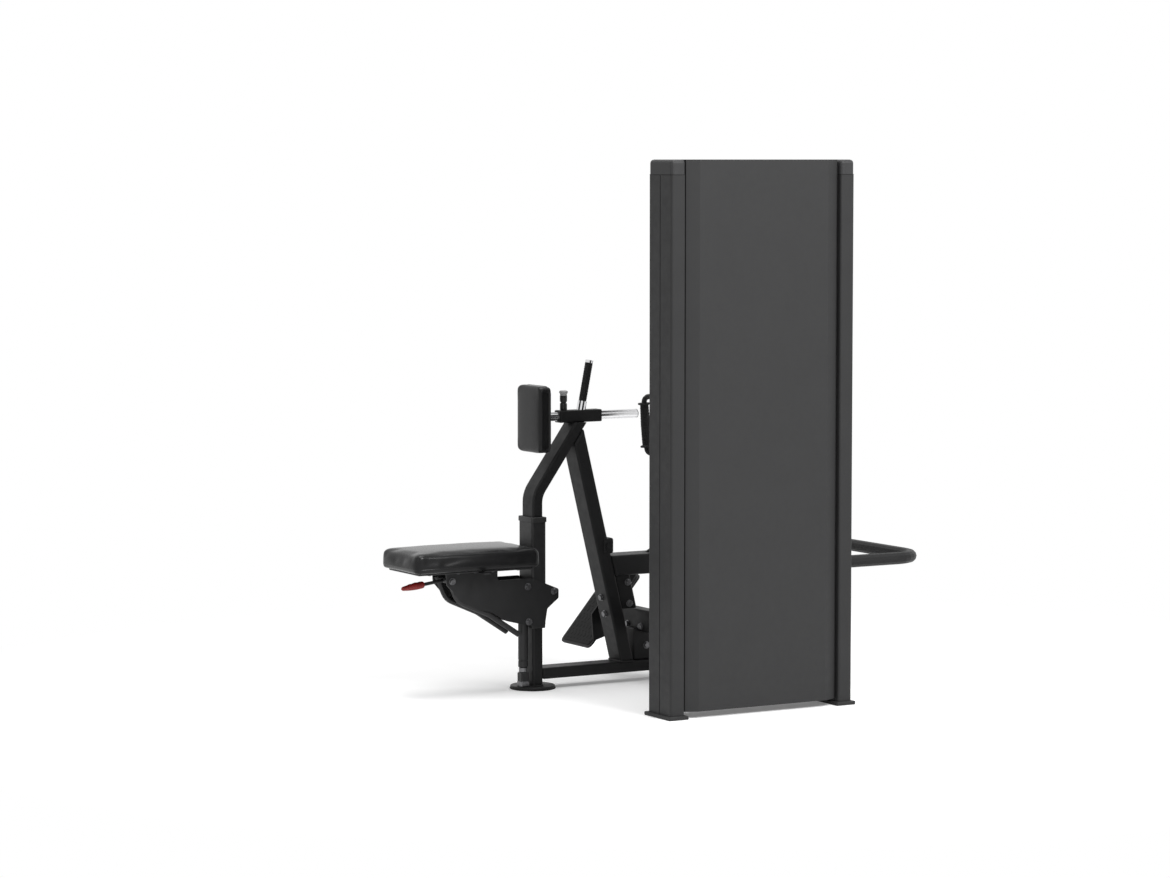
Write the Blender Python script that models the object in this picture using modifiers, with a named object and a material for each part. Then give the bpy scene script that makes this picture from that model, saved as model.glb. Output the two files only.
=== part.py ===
"""Iso-lateral row machine: a seat on a sliding carriage, a chest pad, two hanging row arms and a
weight stack in a side tower.

Metres, +Z up, +Y the way the user faces, +X the user's right. The origin is the centre of the
underside of the front foot.
"""
import math

import bmesh
import bpy
from mathutils import Matrix, Vector

# Clearances
GAP = 0.0003
RUN = 0.0005
SIDE_PLAY = 0.0010

# Centre frame
FOOT_R = 0.079
FOOT_T = 0.012
POST_W = 0.080
POST_D = 0.040
POST_BEND_Z = 0.683
POST_LEAN = math.radians(35.2)
TUBE_CORNER = 0.006
LEG_W = 0.090
LEG_D = 0.050
LEG_LEAN = math.radians(13.7)
BASE_H = 0.040
BASE_Z = 0.034
REAR_POST_Y = 1.10
REAR_POST_D = 0.060
REAR_POST_TOP = 0.53
BASE_OVERHANG = 0.020
BEAM_W = 0.100
BEAM_Z = 0.383
BEAM_H = 0.072
MAST_W = 0.080
MAST_D = 0.070
MAST_FOOT_Y = 0.55
MAST_TOP_Y = 0.72
MAST_DROP = 0.115
LOOP_R = 0.0215
LOOP_Z = 0.48
LOOP_BEND_R = 0.10
POST_BEND_R = 0.11
LEG_FOOT_Y = 0.3613
FOOT_STUB_R = 0.030
CROSS_TUBE_Y = (0.52, 0.56)
MAST_WEB_L = 0.055
MAST_WEB_H = 0.030
MAST_WEB_T = 0.010
FOOT_BOX_W = 0.060
FOOT_BOX_Y = (0.395, 0.500)
LEG_CLAMP_RISE = (0.008, 0.064)
LEG_CLAMP_T = 0.005
LEG_CLAMP_REACH = 0.010
DROP_BRACKET_W = 0.076
DROP_BRACKET_D = 0.062
DROP_BRACKET_LOW = 0.262
BRACKET_BOLT_RISE = 0.018
BEAM_WEB_L = 0.056
BEAM_WEB_H = 0.044
BEAM_WEB_T = 0.010
BOLT_HEAD_R = 0.009
BOLT_HEAD_T = 0.006

# Chest pad and its slide
SLIDE_Z = 0.952
SLIDE_TUBE_R = 0.016
SLEEVE_SIDE = 0.043
SLEEVE_Y = (0.100, 0.270)
PIN_Y = 0.125
PIN_R = 0.004
SLIDE_TUBE_END_Y = 0.42
GROOVE_DEPTH = 0.0035
DETENT_PITCH = 0.025
CHEST_FACE_Y = -0.019
CHEST_T = 0.050
CHEST_W = 0.170
CHEST_H = 0.230
CHEST_DROP = 0.007
CHEST_BOARD_T = 0.007
CHEST_BOARD_INSET = 0.018
CHEST_TRAVEL = (-0.10, 0.04)
CHEST_CROWN = 0.010
PAD_PULL = 0.03
PIN_BOSS_R = 0.009
PIN_BOSS_RISE = 0.038
PIN_KNOB_RISE = 0.088
PIN_KNOB_R = 0.012
PIN_KNOB_NECK_R = 0.0085
GRIP_FOOT_Y = 0.196
GRIP_LEAN = math.radians(11.2)
GRIP_L = 0.174
GRIP_R = 0.0135
GRIP_COLLAR_L = 0.030
GRIP_COLLAR_R = 0.0165
GRIP_CAP_L = 0.008

# Seat carriage
CARRIAGE_Z = (0.224, 0.601)
CARRIAGE_WALL = 0.008
SIDE_PLATE_T = 0.005
SEAT_TRAVEL = (-0.055, 0.045)
SEAT_Y = (-0.527, -0.035)
SEAT_W = 0.270
SEAT_T = 0.082
SEAT_BOARD_Z = 0.435
SEAT_BOARD_T = 0.007
SEAT_BOARD_INSET = 0.022
SPRING_X = 0.018
SPRING_Y = -0.048
SPRING_R = 0.0175
SPRING_ROD_R = 0.006
SPRING_EYE_Z = 0.3665
SEAT_CROWN = 0.016
SPRING_FOOT_Z = 0.080
SPRING_BORE_Z = 0.120
SPRING_END_ROOM = 0.010
SPRING_GUIDE_L = 0.045
SPRING_SPIGOT_R = 0.008
SPRING_SPIGOT_L = 0.020
SPRING_RING_UP = 0.022
SPRING_RING_DEEP = 0.0015
EYE_SHARE = 1.4
CARRIAGE_PIN_R = 0.006
REAR_PIN = (0.0565, 0.345)
LOW_BOLT = (-0.044, 0.243)
SIDE_PLATE = [(-0.370, None), (-0.366, 0.390), (-0.311, 0.329), (-0.252, 0.300), (-0.192, 0.2845),
              (-0.133, 0.251), (-0.030, 0.225), (0.020, 0.225), (0.030, 0.285), (0.075, 0.320),
              (0.075, 0.352), (-0.030, 0.395), (-0.168, 0.395), (-0.168, None)]
SIDE_PLATE_CORNER = 0.008
STRUT_R = 0.010
STRUT_BEND_R = 0.060
STRUT_PATH = [(-0.355, 0.412), (-0.320, 0.330), (-0.200, 0.278), (-0.080, 0.200)]
LEVER_Y = -0.345
LEVER_Z = 0.402
LEVER_R = 0.006
LEVER_PIN_R = 0.005
LEVER_HUB_R = 0.011
LEVER_HUB_REACH = 0.020
LEVER_GRIP_L = 0.085
LEVER_GRIP_R = 0.0125
LEVER_GRIP_END = 0.012
GRIP_END = (-0.515, 0.380)

# Row arms
PIVOT_DROP = 0.105
SHAFT_R = 0.0125
ARM_X = 0.25
ARM_W = 0.040
ARM_D = 0.050
ARM_BOTTOM = 0.77
HUB_R = 0.030
HUB_X = (0.115, 0.285)
CAM_X = 0.165
CAM_R = 0.080
CABLE_R = 0.0025
HANDLE_Z = (0.806, 0.968)
HANDLE_Y = 0.610
HANDLE_LEAN = math.radians(5)
HANDLE_ROD_R = 0.010
HANDLE_GRIP_R = 0.0155
HANDLE_FLANGE_R = 0.023
HANDLE_STUB = 0.022
HANDLE_BEND_R = 0.018
COLLAR_R = 0.020
COLLAR_T = 0.008
CAM_RIM = 0.008
CAM_W = 0.020
STOP_BAR_Z = 1.25
STOP_BAR_H = 0.040
STOP_BAR_D = 0.030
STOP_PAD_T = 0.012
STOP_PAD_R = 0.015

# Footrest
CROSSBAR_Y = 0.44
CROSSBAR_Z = 0.1763
CROSSBAR_H = 0.080
CROSSBAR_D = 0.050
PLATE_X = (0.207, 0.420)
PLATE_LOW = (0.348, 0.094)
PLATE_SLOPE = math.radians(49.5)
PLATE_LENGTH = 0.333
PLATE_T = 0.006
PLATE_CORNER = 0.020
CHEEK = [(0.030, 0.0), (0.095, -0.042), (0.175, -0.042), (0.280, 0.0), (0.200, 0.070), (0.100, 0.070)]

# Tower
TOWER_OUT = 0.722
TOWER_W = 0.146
TOWER_FRONT = 0.040
TOWER_D = 0.720
TOWER_H = 1.85
UPRIGHT_D = 0.054
CAP_H = 0.050
TOWER_FOOT_T = 0.012
TOWER_FOOT_LIP = 0.010
PANEL_PROUD = 0.002
PANEL_T = 0.0025
PANEL_CHAMFER = (0.017, 0.044)
PANEL_GROOVE = 0.009
PANEL_HOOK = 0.015
PANEL_BOTTOM = 0.022
UPRIGHT_CORNER = 0.008
CAP_CORNER = 0.012
COVER_T = 0.012
COVER_DROP = 0.004
COVER_LAP = 0.020
TOWER_BASE_INSET = (0.008, 0.032)
TOWER_BASE_Z = (0.030, 0.070)
HOUSING_X = 0.20
HOUSING_Y = (0.66, 0.82)
HOUSING_H = 0.075
BRIDGE_Y = (0.665, 0.745)
BRIDGE_RISE = (0.005, 0.065)
HANGER_DROP = (0.014, 0.002)

# Weight stack and cable
STACK_INSET = 0.083
ROD_R = 0.010
ROD_SPREAD = 0.150
ROD_OFFSET = 0.018
BUMPER_H = 0.025
BLOCK_SIZE = (0.096, 0.400, 0.028)
BLOCKS_RESTING = 12
BLOCKS_LIFTED = 4
BLOCK_GROOVE = 0.0015
TOP_BLOCK_T = 0.036
STEM_R = 0.0125
STEM_BORE_R = 0.0032
STEM_RISE = 0.050
LIFT_TRAVEL = 0.40
SELECTOR_R = 0.005
SELECTOR_KNOB_R = 0.013
SELECTOR_KNOB_L = 0.030
PIN_SEAT = 0.001
STEM_CLEARANCE = 0.004
STEM_BORE_ROOM = 0.040
CABLE_TAIL = 0.020
CABLE_RISE = 0.035
PULLEY_R = 0.038
PULLEY_RIM = 0.0065
PULLEY_W = 0.018
AXLE_R = 0.006
ROD_PLAY = 0.0008
BUMPER_R = 0.020
HANGER_BOSS_R = 0.011
EAR_REACH = 0.020
EAR_T = 0.005
EAR_W = 0.040
WASHER_T = 0.008
AXLE_SHOULDER = 0.002
CORNER_PULLEY_Y = 0.645

# Places worked out from the sizes above
BASE_W = POST_W
TOWER_X = (TOWER_OUT, TOWER_OUT + TOWER_W)
TOWER_Y = (TOWER_FRONT, TOWER_FRONT + TOWER_D)
PIN_BOSS_TOP = SLIDE_Z + PIN_BOSS_RISE
PIN_KNOB_TOP = SLIDE_Z + PIN_KNOB_RISE
CHEST_Z = SLIDE_Z - CHEST_DROP
LOOP_X = sum(TOWER_X) / 2
PANEL_FACE_X = TOWER_X[1] + PANEL_PROUD
TOWER_BASE_X = (TOWER_X[0] + TOWER_BASE_INSET[0], TOWER_X[1] - TOWER_BASE_INSET[1])
STACK_X = TOWER_X[0] + STACK_INSET
STACK_Y = sum(TOWER_Y) / 2
UPRIGHT_TOP = TOWER_H - CAP_H
MAST_TOP_Z = TOWER_H - MAST_DROP
PIVOT_Z = MAST_TOP_Z - PIVOT_DROP
CABLE_Z = MAST_TOP_Z + CABLE_RISE
HOUSING_Z = (MAST_TOP_Z, MAST_TOP_Z + HOUSING_H)
BRIDGE_Z = (MAST_TOP_Z + BRIDGE_RISE[0], MAST_TOP_Z + BRIDGE_RISE[1])
HANGER_Z = (UPRIGHT_TOP - HANGER_DROP[0], UPRIGHT_TOP - HANGER_DROP[1])
MAST_LEAN = math.atan2(MAST_TOP_Y - MAST_FOOT_Y, MAST_TOP_Z - BEAM_Z - BEAM_H)
PIVOT_Y = MAST_FOOT_Y + (PIVOT_Z - BEAM_Z - BEAM_H) * math.tan(MAST_LEAN)
BASE_TOP = BASE_Z + BASE_H
BEAM_TOP = BEAM_Z + BEAM_H
SLEEVE_BOTTOM = SLIDE_Z - SLEEVE_SIDE / 2
UPRIGHT_FRONT_Y = (TOWER_Y[0], TOWER_Y[0] + UPRIGHT_D)
UPRIGHT_REAR_Y = (TOWER_Y[1] - UPRIGHT_D, TOWER_Y[1])
STACK_Z = TOWER_BASE_Z[1] + GAP + BUMPER_H
LIFTED_Z = STACK_Z + BLOCKS_RESTING * BLOCK_SIZE[2] + GAP
TOP_BLOCK_Z = LIFTED_Z + BLOCKS_LIFTED * BLOCK_SIZE[2] + GAP
SELECTOR_Z = LIFTED_Z + BLOCK_SIZE[2] / 2
STEM_TOP = TOP_BLOCK_Z + TOP_BLOCK_T + STEM_RISE
ROD_X = STACK_X + ROD_OFFSET
SPRING_ROD_Z = SPRING_BORE_Z - SEAT_TRAVEL[0] + SPRING_END_ROOM
SPRING_TOP_Z = SPRING_ROD_Z + SEAT_TRAVEL[1] + SPRING_GUIDE_L
CORNER_PULLEY = (STACK_X - PULLEY_R, CORNER_PULLEY_Y)
TOP_PULLEY = (STACK_Y + PULLEY_R, CABLE_Z - PULLEY_R)

BLACK = (0.018, 0.018, 0.019)
CHARCOAL = (0.070, 0.070, 0.072)
STEEL = (0.55, 0.55, 0.56)
CHROME = (0.80, 0.80, 0.81)
RUBBER = (0.012, 0.012, 0.012)
VINYL = (0.014, 0.014, 0.014)
RED = (0.45, 0.02, 0.02)

# Rotations that lay a drawing plane across the named axis
PLANES = {
    "X": Matrix(((0, 0, 1, 0), (1, 0, 0, 0), (0, 1, 0, 0), (0, 0, 0, 1))),
    "Y": Matrix(((0, 1, 0, 0), (0, 0, 1, 0), (1, 0, 0, 0), (0, 0, 0, 1))),
    "Z": Matrix.Identity(4),
}


# Scene handling

def clear_scene():
    """Removes every object of the scene."""
    for item in list(bpy.data.objects):
        bpy.data.objects.remove(item, do_unlink=True)


def new_collection(name):
    """A collection linked to the scene."""
    group = bpy.data.collections.new(name)
    bpy.context.scene.collection.children.link(group)
    return group


def paint(name, colour, roughness, metallic):
    """A Principled material."""
    material = bpy.data.materials.new(name)
    material.use_nodes = True
    shader = material.node_tree.nodes["Principled BSDF"]
    shader.inputs["Base Color"].default_value = (*colour, 1.0)
    shader.inputs["Roughness"].default_value = roughness
    shader.inputs["Metallic"].default_value = metallic
    material.diffuse_color = (*colour, 1.0)
    return material


def evaluated_mesh(item):
    """The mesh of an object with its modifiers or curve settings applied."""
    bpy.context.view_layer.update()
    graph = bpy.context.evaluated_depsgraph_get()
    return bpy.data.meshes.new_from_object(item.evaluated_get(graph))


def holder(data):
    """A scratch object for data that still has to be evaluated."""
    item = bpy.data.objects.new("scratch", data)
    bpy.context.scene.collection.objects.link(item)
    return item


def tidy(mesh, flat=False):
    """Welds caps, turns the faces outward and, where asked, clears edges inside flat faces."""
    work = bmesh.new()
    work.from_mesh(mesh)
    bmesh.ops.remove_doubles(work, verts=work.verts, dist=0.00001)
    if flat:
        bmesh.ops.dissolve_limit(work, angle_limit=0.002, verts=work.verts, edges=work.edges)
    bmesh.ops.recalc_face_normals(work, faces=work.faces)
    work.to_mesh(mesh)
    work.free()
    return mesh


# Shapes, each returned as a mesh in world coordinates

def block(x, y, z):
    """A box between the given ranges."""
    work = bmesh.new()
    middle = Vector((sum(x) / 2, sum(y) / 2, sum(z) / 2))
    size = Vector((x[1] - x[0], y[1] - y[0], z[1] - z[0]))
    place = Matrix.Translation(middle) @ Matrix.Diagonal((*size, 1.0))
    bmesh.ops.create_cube(work, size=1.0, matrix=place)
    mesh = bpy.data.meshes.new("block")
    work.to_mesh(mesh)
    work.free()
    return mesh


def cylinder(start, end, radius, segments=16):
    """A solid round bar from start to end."""
    start, end = Vector(start), Vector(end)
    along = end - start
    turn = Vector((0, 0, 1)).rotation_difference(along).to_matrix().to_4x4()
    work = bmesh.new()
    bmesh.ops.create_cone(work, cap_ends=True, segments=segments, radius1=radius, radius2=radius,
                          depth=along.length, matrix=Matrix.Translation((start + end) / 2) @ turn)
    mesh = bpy.data.meshes.new("bar")
    work.to_mesh(mesh)
    work.free()
    return mesh


def turned(profile, centre, axis="Z", steps=24):
    """A turned solid: profile is (radius, height) pairs, down its outer side."""
    mesh = bpy.data.meshes.new("profile")
    points = [(radius, 0.0, height) for radius, height in profile]
    closed = profile[0][0] > 0
    count = len(points)
    edges = [(i, (i + 1) % count) for i in range(count if closed else count - 1)]
    mesh.from_pydata(points, edges, [])
    item = holder(mesh)
    screw = item.modifiers.new("turn", "SCREW")
    screw.axis = "Z"
    screw.steps = steps
    screw.render_steps = steps
    screw.use_merge_vertices = True
    screw.merge_threshold = 0.00001
    result = tidy(evaluated_mesh(item))
    bpy.data.objects.remove(item)
    result.transform(Matrix.Translation(centre) @ PLANES[axis])
    return result


def extruded(outline, low, high, axis):
    """A closed outline drawn across the named axis and filled from low to high."""
    curve = bpy.data.curves.new("outline", "CURVE")
    curve.dimensions = "2D"
    curve.fill_mode = "BOTH"
    curve.extrude = (high - low) / 2
    spline = curve.splines.new("POLY")
    spline.points.add(len(outline) - 1)
    for point, (u, v) in zip(spline.points, outline):
        point.co = (u, v, 0.0, 1.0)
    spline.use_cyclic_u = True
    item = holder(curve)
    mesh = tidy(evaluated_mesh(item), flat=True)
    bpy.data.objects.remove(item)
    mesh.transform(PLANES[axis] @ Matrix.Translation((0, 0, (low + high) / 2)))
    return mesh


def tube(points, radius, resolution=2):
    """A round bar along the given points."""
    curve = bpy.data.curves.new("path", "CURVE")
    curve.dimensions = "3D"
    curve.bevel_depth = radius
    curve.bevel_resolution = resolution
    curve.use_fill_caps = True
    spline = curve.splines.new("POLY")
    spline.points.add(len(points) - 1)
    for point, place in zip(spline.points, points):
        point.co = (*place, 1.0)
    item = holder(curve)
    mesh = tidy(evaluated_mesh(item))
    bpy.data.objects.remove(item)
    return mesh


def boolean(base, tools, operation):
    """The mesh of base joined with, or cut by, each of the tools."""
    body = holder(base)
    helpers = []
    for tool in tools:
        helper = holder(tool)
        helpers.append(helper)
        step = body.modifiers.new("step", "BOOLEAN")
        step.operation = operation
        step.object = helper
    mesh = tidy(evaluated_mesh(body), flat=True)
    for item in [body, *helpers]:
        bpy.data.objects.remove(item)
    return mesh


def union(base, *tools):
    """The shapes joined into one body."""
    return boolean(base, tools, "UNION")


def cut(base, *tools):
    """The base less each of the tools."""
    return boolean(base, tools, "DIFFERENCE")


def softened(mesh, width, segments=2, angle=30.0):
    """The mesh with its sharp edges rounded."""
    item = holder(mesh)
    bevel = item.modifiers.new("round", "BEVEL")
    bevel.width = width
    bevel.segments = segments
    bevel.limit_method = "ANGLE"
    bevel.angle_limit = math.radians(angle)
    result = tidy(evaluated_mesh(item))
    bpy.data.objects.remove(item)
    return result


def mirrored(mesh):
    """A copy on the other side of the centre plane."""
    other = mesh.copy()
    other.transform(Matrix.Scale(-1, 4, (1, 0, 0)))
    other.flip_normals()
    return other


def leaning_bar(foot, height, lean, depth, cut_low=None, cut_high=None):
    """Outline of a bar that leans from foot: its four corners between two cut lines.

    Each cut is (point, direction) in the side plane; without one the end is level.
    """
    along = Vector((math.sin(lean), math.cos(lean)))
    across = Vector((math.cos(lean), -math.sin(lean)))
    low = cut_low or (Vector(foot), Vector((1, 0)))
    high = cut_high or (Vector((foot[0], foot[1] + height)), Vector((1, 0)))
    corners = []
    for side, (point, way) in ((-1, low), (1, low), (1, high), (-1, high)):
        start = Vector(foot) + across * side * depth / 2
        corners.append(crossing(start, along, Vector(point), Vector(way)))
    return corners


def crossing(a, along_a, b, along_b):
    """Where the line through a meets the line through b."""
    span = b - a
    scale = along_a.x * along_b.y - along_a.y * along_b.x
    reach = (span.x * along_b.y - span.y * along_b.x) / scale
    return a + along_a * reach


def arc(centre, radius, start, end, steps):
    """Points on an arc, ends included; angles in radians."""
    return [(centre[0] + radius * math.cos(start + (end - start) * i / steps),
             centre[1] + radius * math.sin(start + (end - start) * i / steps))
            for i in range(steps + 1)]


def rounded_path(points, radius, steps=5):
    """A flat or spatial path with each inner corner replaced by an arc."""
    points = [Vector(p) for p in points]
    path = [points[0]]
    for before, corner, after in zip(points, points[1:], points[2:]):
        back = (before - corner).normalized()
        ahead = (after - corner).normalized()
        half = back.angle(ahead) / 2
        reach = radius / math.tan(half)
        centre = corner + (back + ahead).normalized() * radius / math.sin(half)
        first = corner + back * reach - centre
        last = corner + ahead * reach - centre
        sweep = first.angle(last)
        for i in range(steps + 1):
            t = i / steps
            mix = first * math.sin((1 - t) * sweep) + last * math.sin(t * sweep)
            path.append(centre + mix / math.sin(sweep))
    path.append(points[-1])
    return path


def sheet_outline(path, thickness):
    """The closed outline of a sheet folded along path, thickness to the right of its course."""
    path = [Vector(p) for p in path]
    offset = []
    for i, point in enumerate(path):
        ways = []
        if i > 0:
            ways.append((point - path[i - 1]).normalized())
        if i < len(path) - 1:
            ways.append((path[i + 1] - point).normalized())
        normal = sum((Vector((way.y, -way.x)) for way in ways), Vector((0, 0))).normalized()
        first = Vector((ways[0].y, -ways[0].x))
        offset.append(point + normal * thickness / normal.dot(first))
    return [*path, *reversed(offset)]


def cushion(width, length, thickness, crown, pull):
    """A crowned pad with drawn-in sides, its flat back on z = 0."""
    work = bmesh.new()
    bmesh.ops.create_cube(work, size=1.0)
    bmesh.ops.subdivide_edges(work, edges=work.edges, cuts=4, use_grid_fill=True)
    for vert in work.verts:
        u, v, w = 2 * vert.co
        dome = (1 - u * u) * (1 - v * v)
        taper = 0.05 * w * w
        vert.co.x = u * (width / 2) * (1 - pull * (1 - v * v) - taper)
        vert.co.y = v * (length / 2) * (1 - pull * (1 - u * u) - taper * width / length)
        vert.co.z = (w + 1) / 2 * (thickness - crown) + crown * max(0.0, w) * dome
    mesh = bpy.data.meshes.new("cushion")
    work.to_mesh(mesh)
    work.free()
    item = holder(mesh)
    smooth = item.modifiers.new("smooth", "SUBSURF")
    smooth.levels = 1
    smooth.render_levels = 1
    result = tidy(evaluated_mesh(item))
    bpy.data.objects.remove(item)
    return result


def rounded_outline(points, radius, steps=3):
    """A closed outline with each corner replaced by an arc."""
    middle = (Vector(points[0]) + Vector(points[-1])) / 2
    return rounded_path([middle, *points, middle], radius, steps)[:-1]


def rectangle(u, v):
    """The corners of a flat rectangle."""
    return [(u[0], v[0]), (u[1], v[0]), (u[1], v[1]), (u[0], v[1])]


def bar_x(y, z, reach, radius, segments=16):
    """A round bar across the machine, reach to each side of the centre plane."""
    return cylinder((-reach, y, z), (reach, y, z), radius, segments)


def moved(mesh, matrix):
    """The mesh after the given placement."""
    mesh.transform(matrix)
    return mesh


# Centre frame

def leg_foot():
    """Where the rear leg's centreline meets the base tube."""
    return Vector((LEG_FOOT_Y, BASE_TOP + GAP))


def leg_line(z, out=0.0):
    """Y of the rear leg's centreline at a height, or of a line that far behind it."""
    return LEG_FOOT_Y - (z - BASE_TOP) * math.tan(LEG_LEAN) + out / math.cos(LEG_LEAN)


def leg_rear_face():
    """A point on the rear leg's far face, one gap clear of it, and the way the face runs."""
    across = Vector((math.cos(LEG_LEAN), math.sin(LEG_LEAN)))
    along = Vector((-math.sin(LEG_LEAN), math.cos(LEG_LEAN)))
    return leg_foot() + across * (LEG_D / 2 + GAP), along


def mast_face(side, z):
    """Y of the mast's near (-1) or far (+1) face at a height."""
    middle = MAST_FOOT_Y + (z - BEAM_TOP - GAP) * math.tan(MAST_LEAN)
    return middle + side * MAST_D / 2 / math.cos(MAST_LEAN)


def front_post():
    """The seat post: upright, then bent back under the chest pad's sleeve."""
    half = POST_D / 2
    top = SLEEVE_BOTTOM - GAP
    bend = (-half, POST_BEND_Z + half * math.tan(POST_LEAN / 2))
    beyond = top + POST_D
    end = (bend[0] + (beyond - bend[1]) * math.tan(POST_LEAN), beyond)
    path = rounded_path([(-half, FOOT_T + GAP), bend, end], POST_BEND_R)
    bar = softened(extruded(sheet_outline(path, POST_D), -POST_W / 2, POST_W / 2, "X"), TUBE_CORNER)
    return cut(bar, block((-POST_W, POST_W), (-POST_W, 4 * POST_W), (top, beyond + POST_D)))


def rear_leg():
    """The leaning leg, cut to lie on the bent part of the post."""
    normal = Vector((math.cos(POST_LEAN), -math.sin(POST_LEAN)))
    seat = Vector((0, POST_BEND_Z)) + normal * (POST_D / 2 + GAP)
    slope = Vector((math.sin(POST_LEAN), math.cos(POST_LEAN)))
    outline = leaning_bar(leg_foot(), 0, -LEG_LEAN, LEG_D, cut_high=(seat, slope))
    bar = softened(extruded(outline, -LEG_W / 2, LEG_W / 2, "X"), TUBE_CORNER)
    z = [BEAM_TOP + rise for rise in LEG_CLAMP_RISE]
    middle, rear = leg_line(sum(z) / 2), leg_line(z[0], LEG_D / 2)
    side = LEG_W / 2 + LEG_CLAMP_T
    clamp = softened(block((-side, side), (middle, rear + LEG_CLAMP_REACH), z), 0.008)
    heads = [bolt_head(way * side, (middle + rear) / 2, sum(z) / 2) for way in (-1, 1)]
    return union(bar, clamp, *heads)


def main_beam():
    """The beam from the leg to the rear post."""
    point, along = leg_rear_face()
    low = crossing(point, along, Vector((0, BEAM_Z)), Vector((1, 0)))
    high = crossing(point, along, Vector((0, BEAM_TOP)), Vector((1, 0)))
    end = REAR_POST_Y - REAR_POST_D / 2 - GAP
    outline = [low, (end, BEAM_Z), (end, BEAM_TOP), high]
    bar = softened(extruded(outline, -BEAM_W / 2, BEAM_W / 2, "X"), TUBE_CORNER)
    into = BEAM_Z + TUBE_CORNER
    foot = crossing(point, along, Vector((0, DROP_BRACKET_LOW)), Vector((1, 0)))
    root = crossing(point, along, Vector((0, into)), Vector((1, 0)))
    reach = Vector((DROP_BRACKET_D, 0))
    bracket = softened(extruded([foot, foot + reach, root + reach, root], -DROP_BRACKET_W / 2,
                                DROP_BRACKET_W / 2, "X"), 0.004, 1)
    web_y = root.x + DROP_BRACKET_D
    web_low = BEAM_Z - BEAM_WEB_H
    web = extruded([(web_y - TUBE_CORNER, web_low), (web_y + BEAM_WEB_L / 3, web_low),
                    (web_y + BEAM_WEB_L, into), (web_y - TUBE_CORNER, into)],
                   -BEAM_WEB_T / 2, BEAM_WEB_T / 2, "X")
    heads = [bolt_head(side * BEAM_W / 2, MAST_FOOT_Y + dy, BEAM_Z + BEAM_H / 2)
             for side in (-1, 1) for dy in (-MAST_D / 4, MAST_D / 4)]
    bolt_z = DROP_BRACKET_LOW + BRACKET_BOLT_RISE
    heads += [bolt_head(side * DROP_BRACKET_W / 2, foot.x + DROP_BRACKET_D / 2, bolt_z)
              for side in (-1, 1)]
    return union(bar, bracket, web, *heads)


def mast():
    """The leaning mast with the bore for the arms' shaft."""
    foot = (MAST_FOOT_Y, BEAM_TOP + GAP)
    height = MAST_TOP_Z - GAP - foot[1]
    outline = leaning_bar(foot, height, MAST_LEAN, MAST_D)
    bar = softened(extruded(outline, -MAST_W / 2, MAST_W / 2, "X"), TUBE_CORNER)
    low = foot[1]
    web = extruded([(mast_face(-1, low) - MAST_WEB_L, low), (MAST_FOOT_Y, low),
                    (MAST_FOOT_Y, low + MAST_WEB_H), (mast_face(-1, low), low + MAST_WEB_H)],
                   -MAST_WEB_T / 2, MAST_WEB_T / 2, "X")
    return cut(union(bar, web), bar_x(PIVOT_Y, PIVOT_Z, MAST_W, SHAFT_R + GAP, 24))


def bolt_head(x, y, z):
    """A hexagon head standing on the side face at x, sunk a little into it."""
    way = 1 if x > 0 else -1
    return cylinder((x - way * 0.001, y, z), (x + way * BOLT_HEAD_T, y, z), BOLT_HEAD_R, 6)


def brace_loop():
    """The round tube from the tower's far end round to the rear post."""
    path = rounded_path([(LOOP_X, TOWER_Y[1] + GAP, LOOP_Z), (LOOP_X, REAR_POST_Y, LOOP_Z),
                         (POST_W / 2 + GAP, REAR_POST_Y, LOOP_Z)], LOOP_BEND_R, 8)
    return tube(path, LOOP_R, 4)


def centre_frame(add):
    """Everything welded to the centre plane, but for the sleeve and the tower."""
    black = paint("frame_black", BLACK, 0.45, 0.0)
    foot = turned([(0, FOOT_T), (FOOT_R - 0.002, FOOT_T), (FOOT_R, FOOT_T - 0.002), (FOOT_R, 0),
                   (0, 0)], (0, 0, 0), steps=32)
    add("front_foot", foot, black)
    add("front_post", front_post(), black)
    add("rear_leg", rear_leg(), black)
    far_end = REAR_POST_Y + REAR_POST_D / 2 + BASE_OVERHANG
    add("base_tube", softened(block((-BASE_W / 2, BASE_W / 2), (POST_D / 2 + GAP, far_end),
                                    (BASE_Z, BASE_TOP)), TUBE_CORNER), black)
    disc = cylinder((0, REAR_POST_Y, 0), (0, REAR_POST_Y, FOOT_T), FOOT_R, 32)
    stub = cylinder((0, REAR_POST_Y, FOOT_T / 2), (0, REAR_POST_Y, BASE_Z - GAP), FOOT_STUB_R)
    add("rear_foot", union(disc, stub), black)
    add("rear_post", softened(block((-POST_W / 2, POST_W / 2),
                                    (REAR_POST_Y - REAR_POST_D / 2, REAR_POST_Y + REAR_POST_D / 2),
                                    (BASE_TOP + GAP, REAR_POST_TOP)), TUBE_CORNER), black)
    add("main_beam", main_beam(), black)
    add("mast", mast(), black)
    add("cross_tube", softened(block((BASE_W / 2 + GAP, TOWER_BASE_X[0] - GAP), CROSS_TUBE_Y,
                                     (BASE_Z, BASE_TOP)), TUBE_CORNER), black)
    add("brace_loop", brace_loop(), black)


# Footrest

def footplate():
    """The right footplate: a rounded tread with a cheek that meets the crossbar's end."""
    along = Vector((math.cos(PLATE_SLOPE), math.sin(PLATE_SLOPE)))
    user = Vector((-along.y, along.x))
    flat = extruded(rounded_outline(rectangle(PLATE_X, (0, PLATE_LENGTH)), PLATE_CORNER),
                    -PLATE_T, 0, "Z")
    place = Matrix.Translation((0, *PLATE_LOW)) @ Matrix.Rotation(PLATE_SLOPE, 4, "X")
    cheek = [Vector(PLATE_LOW) + along * d + user * n for d, n in CHEEK]
    side = extruded(cheek, PLATE_X[0], PLATE_X[0] + PLATE_T, "X")
    return union(moved(flat, place), side)


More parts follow.
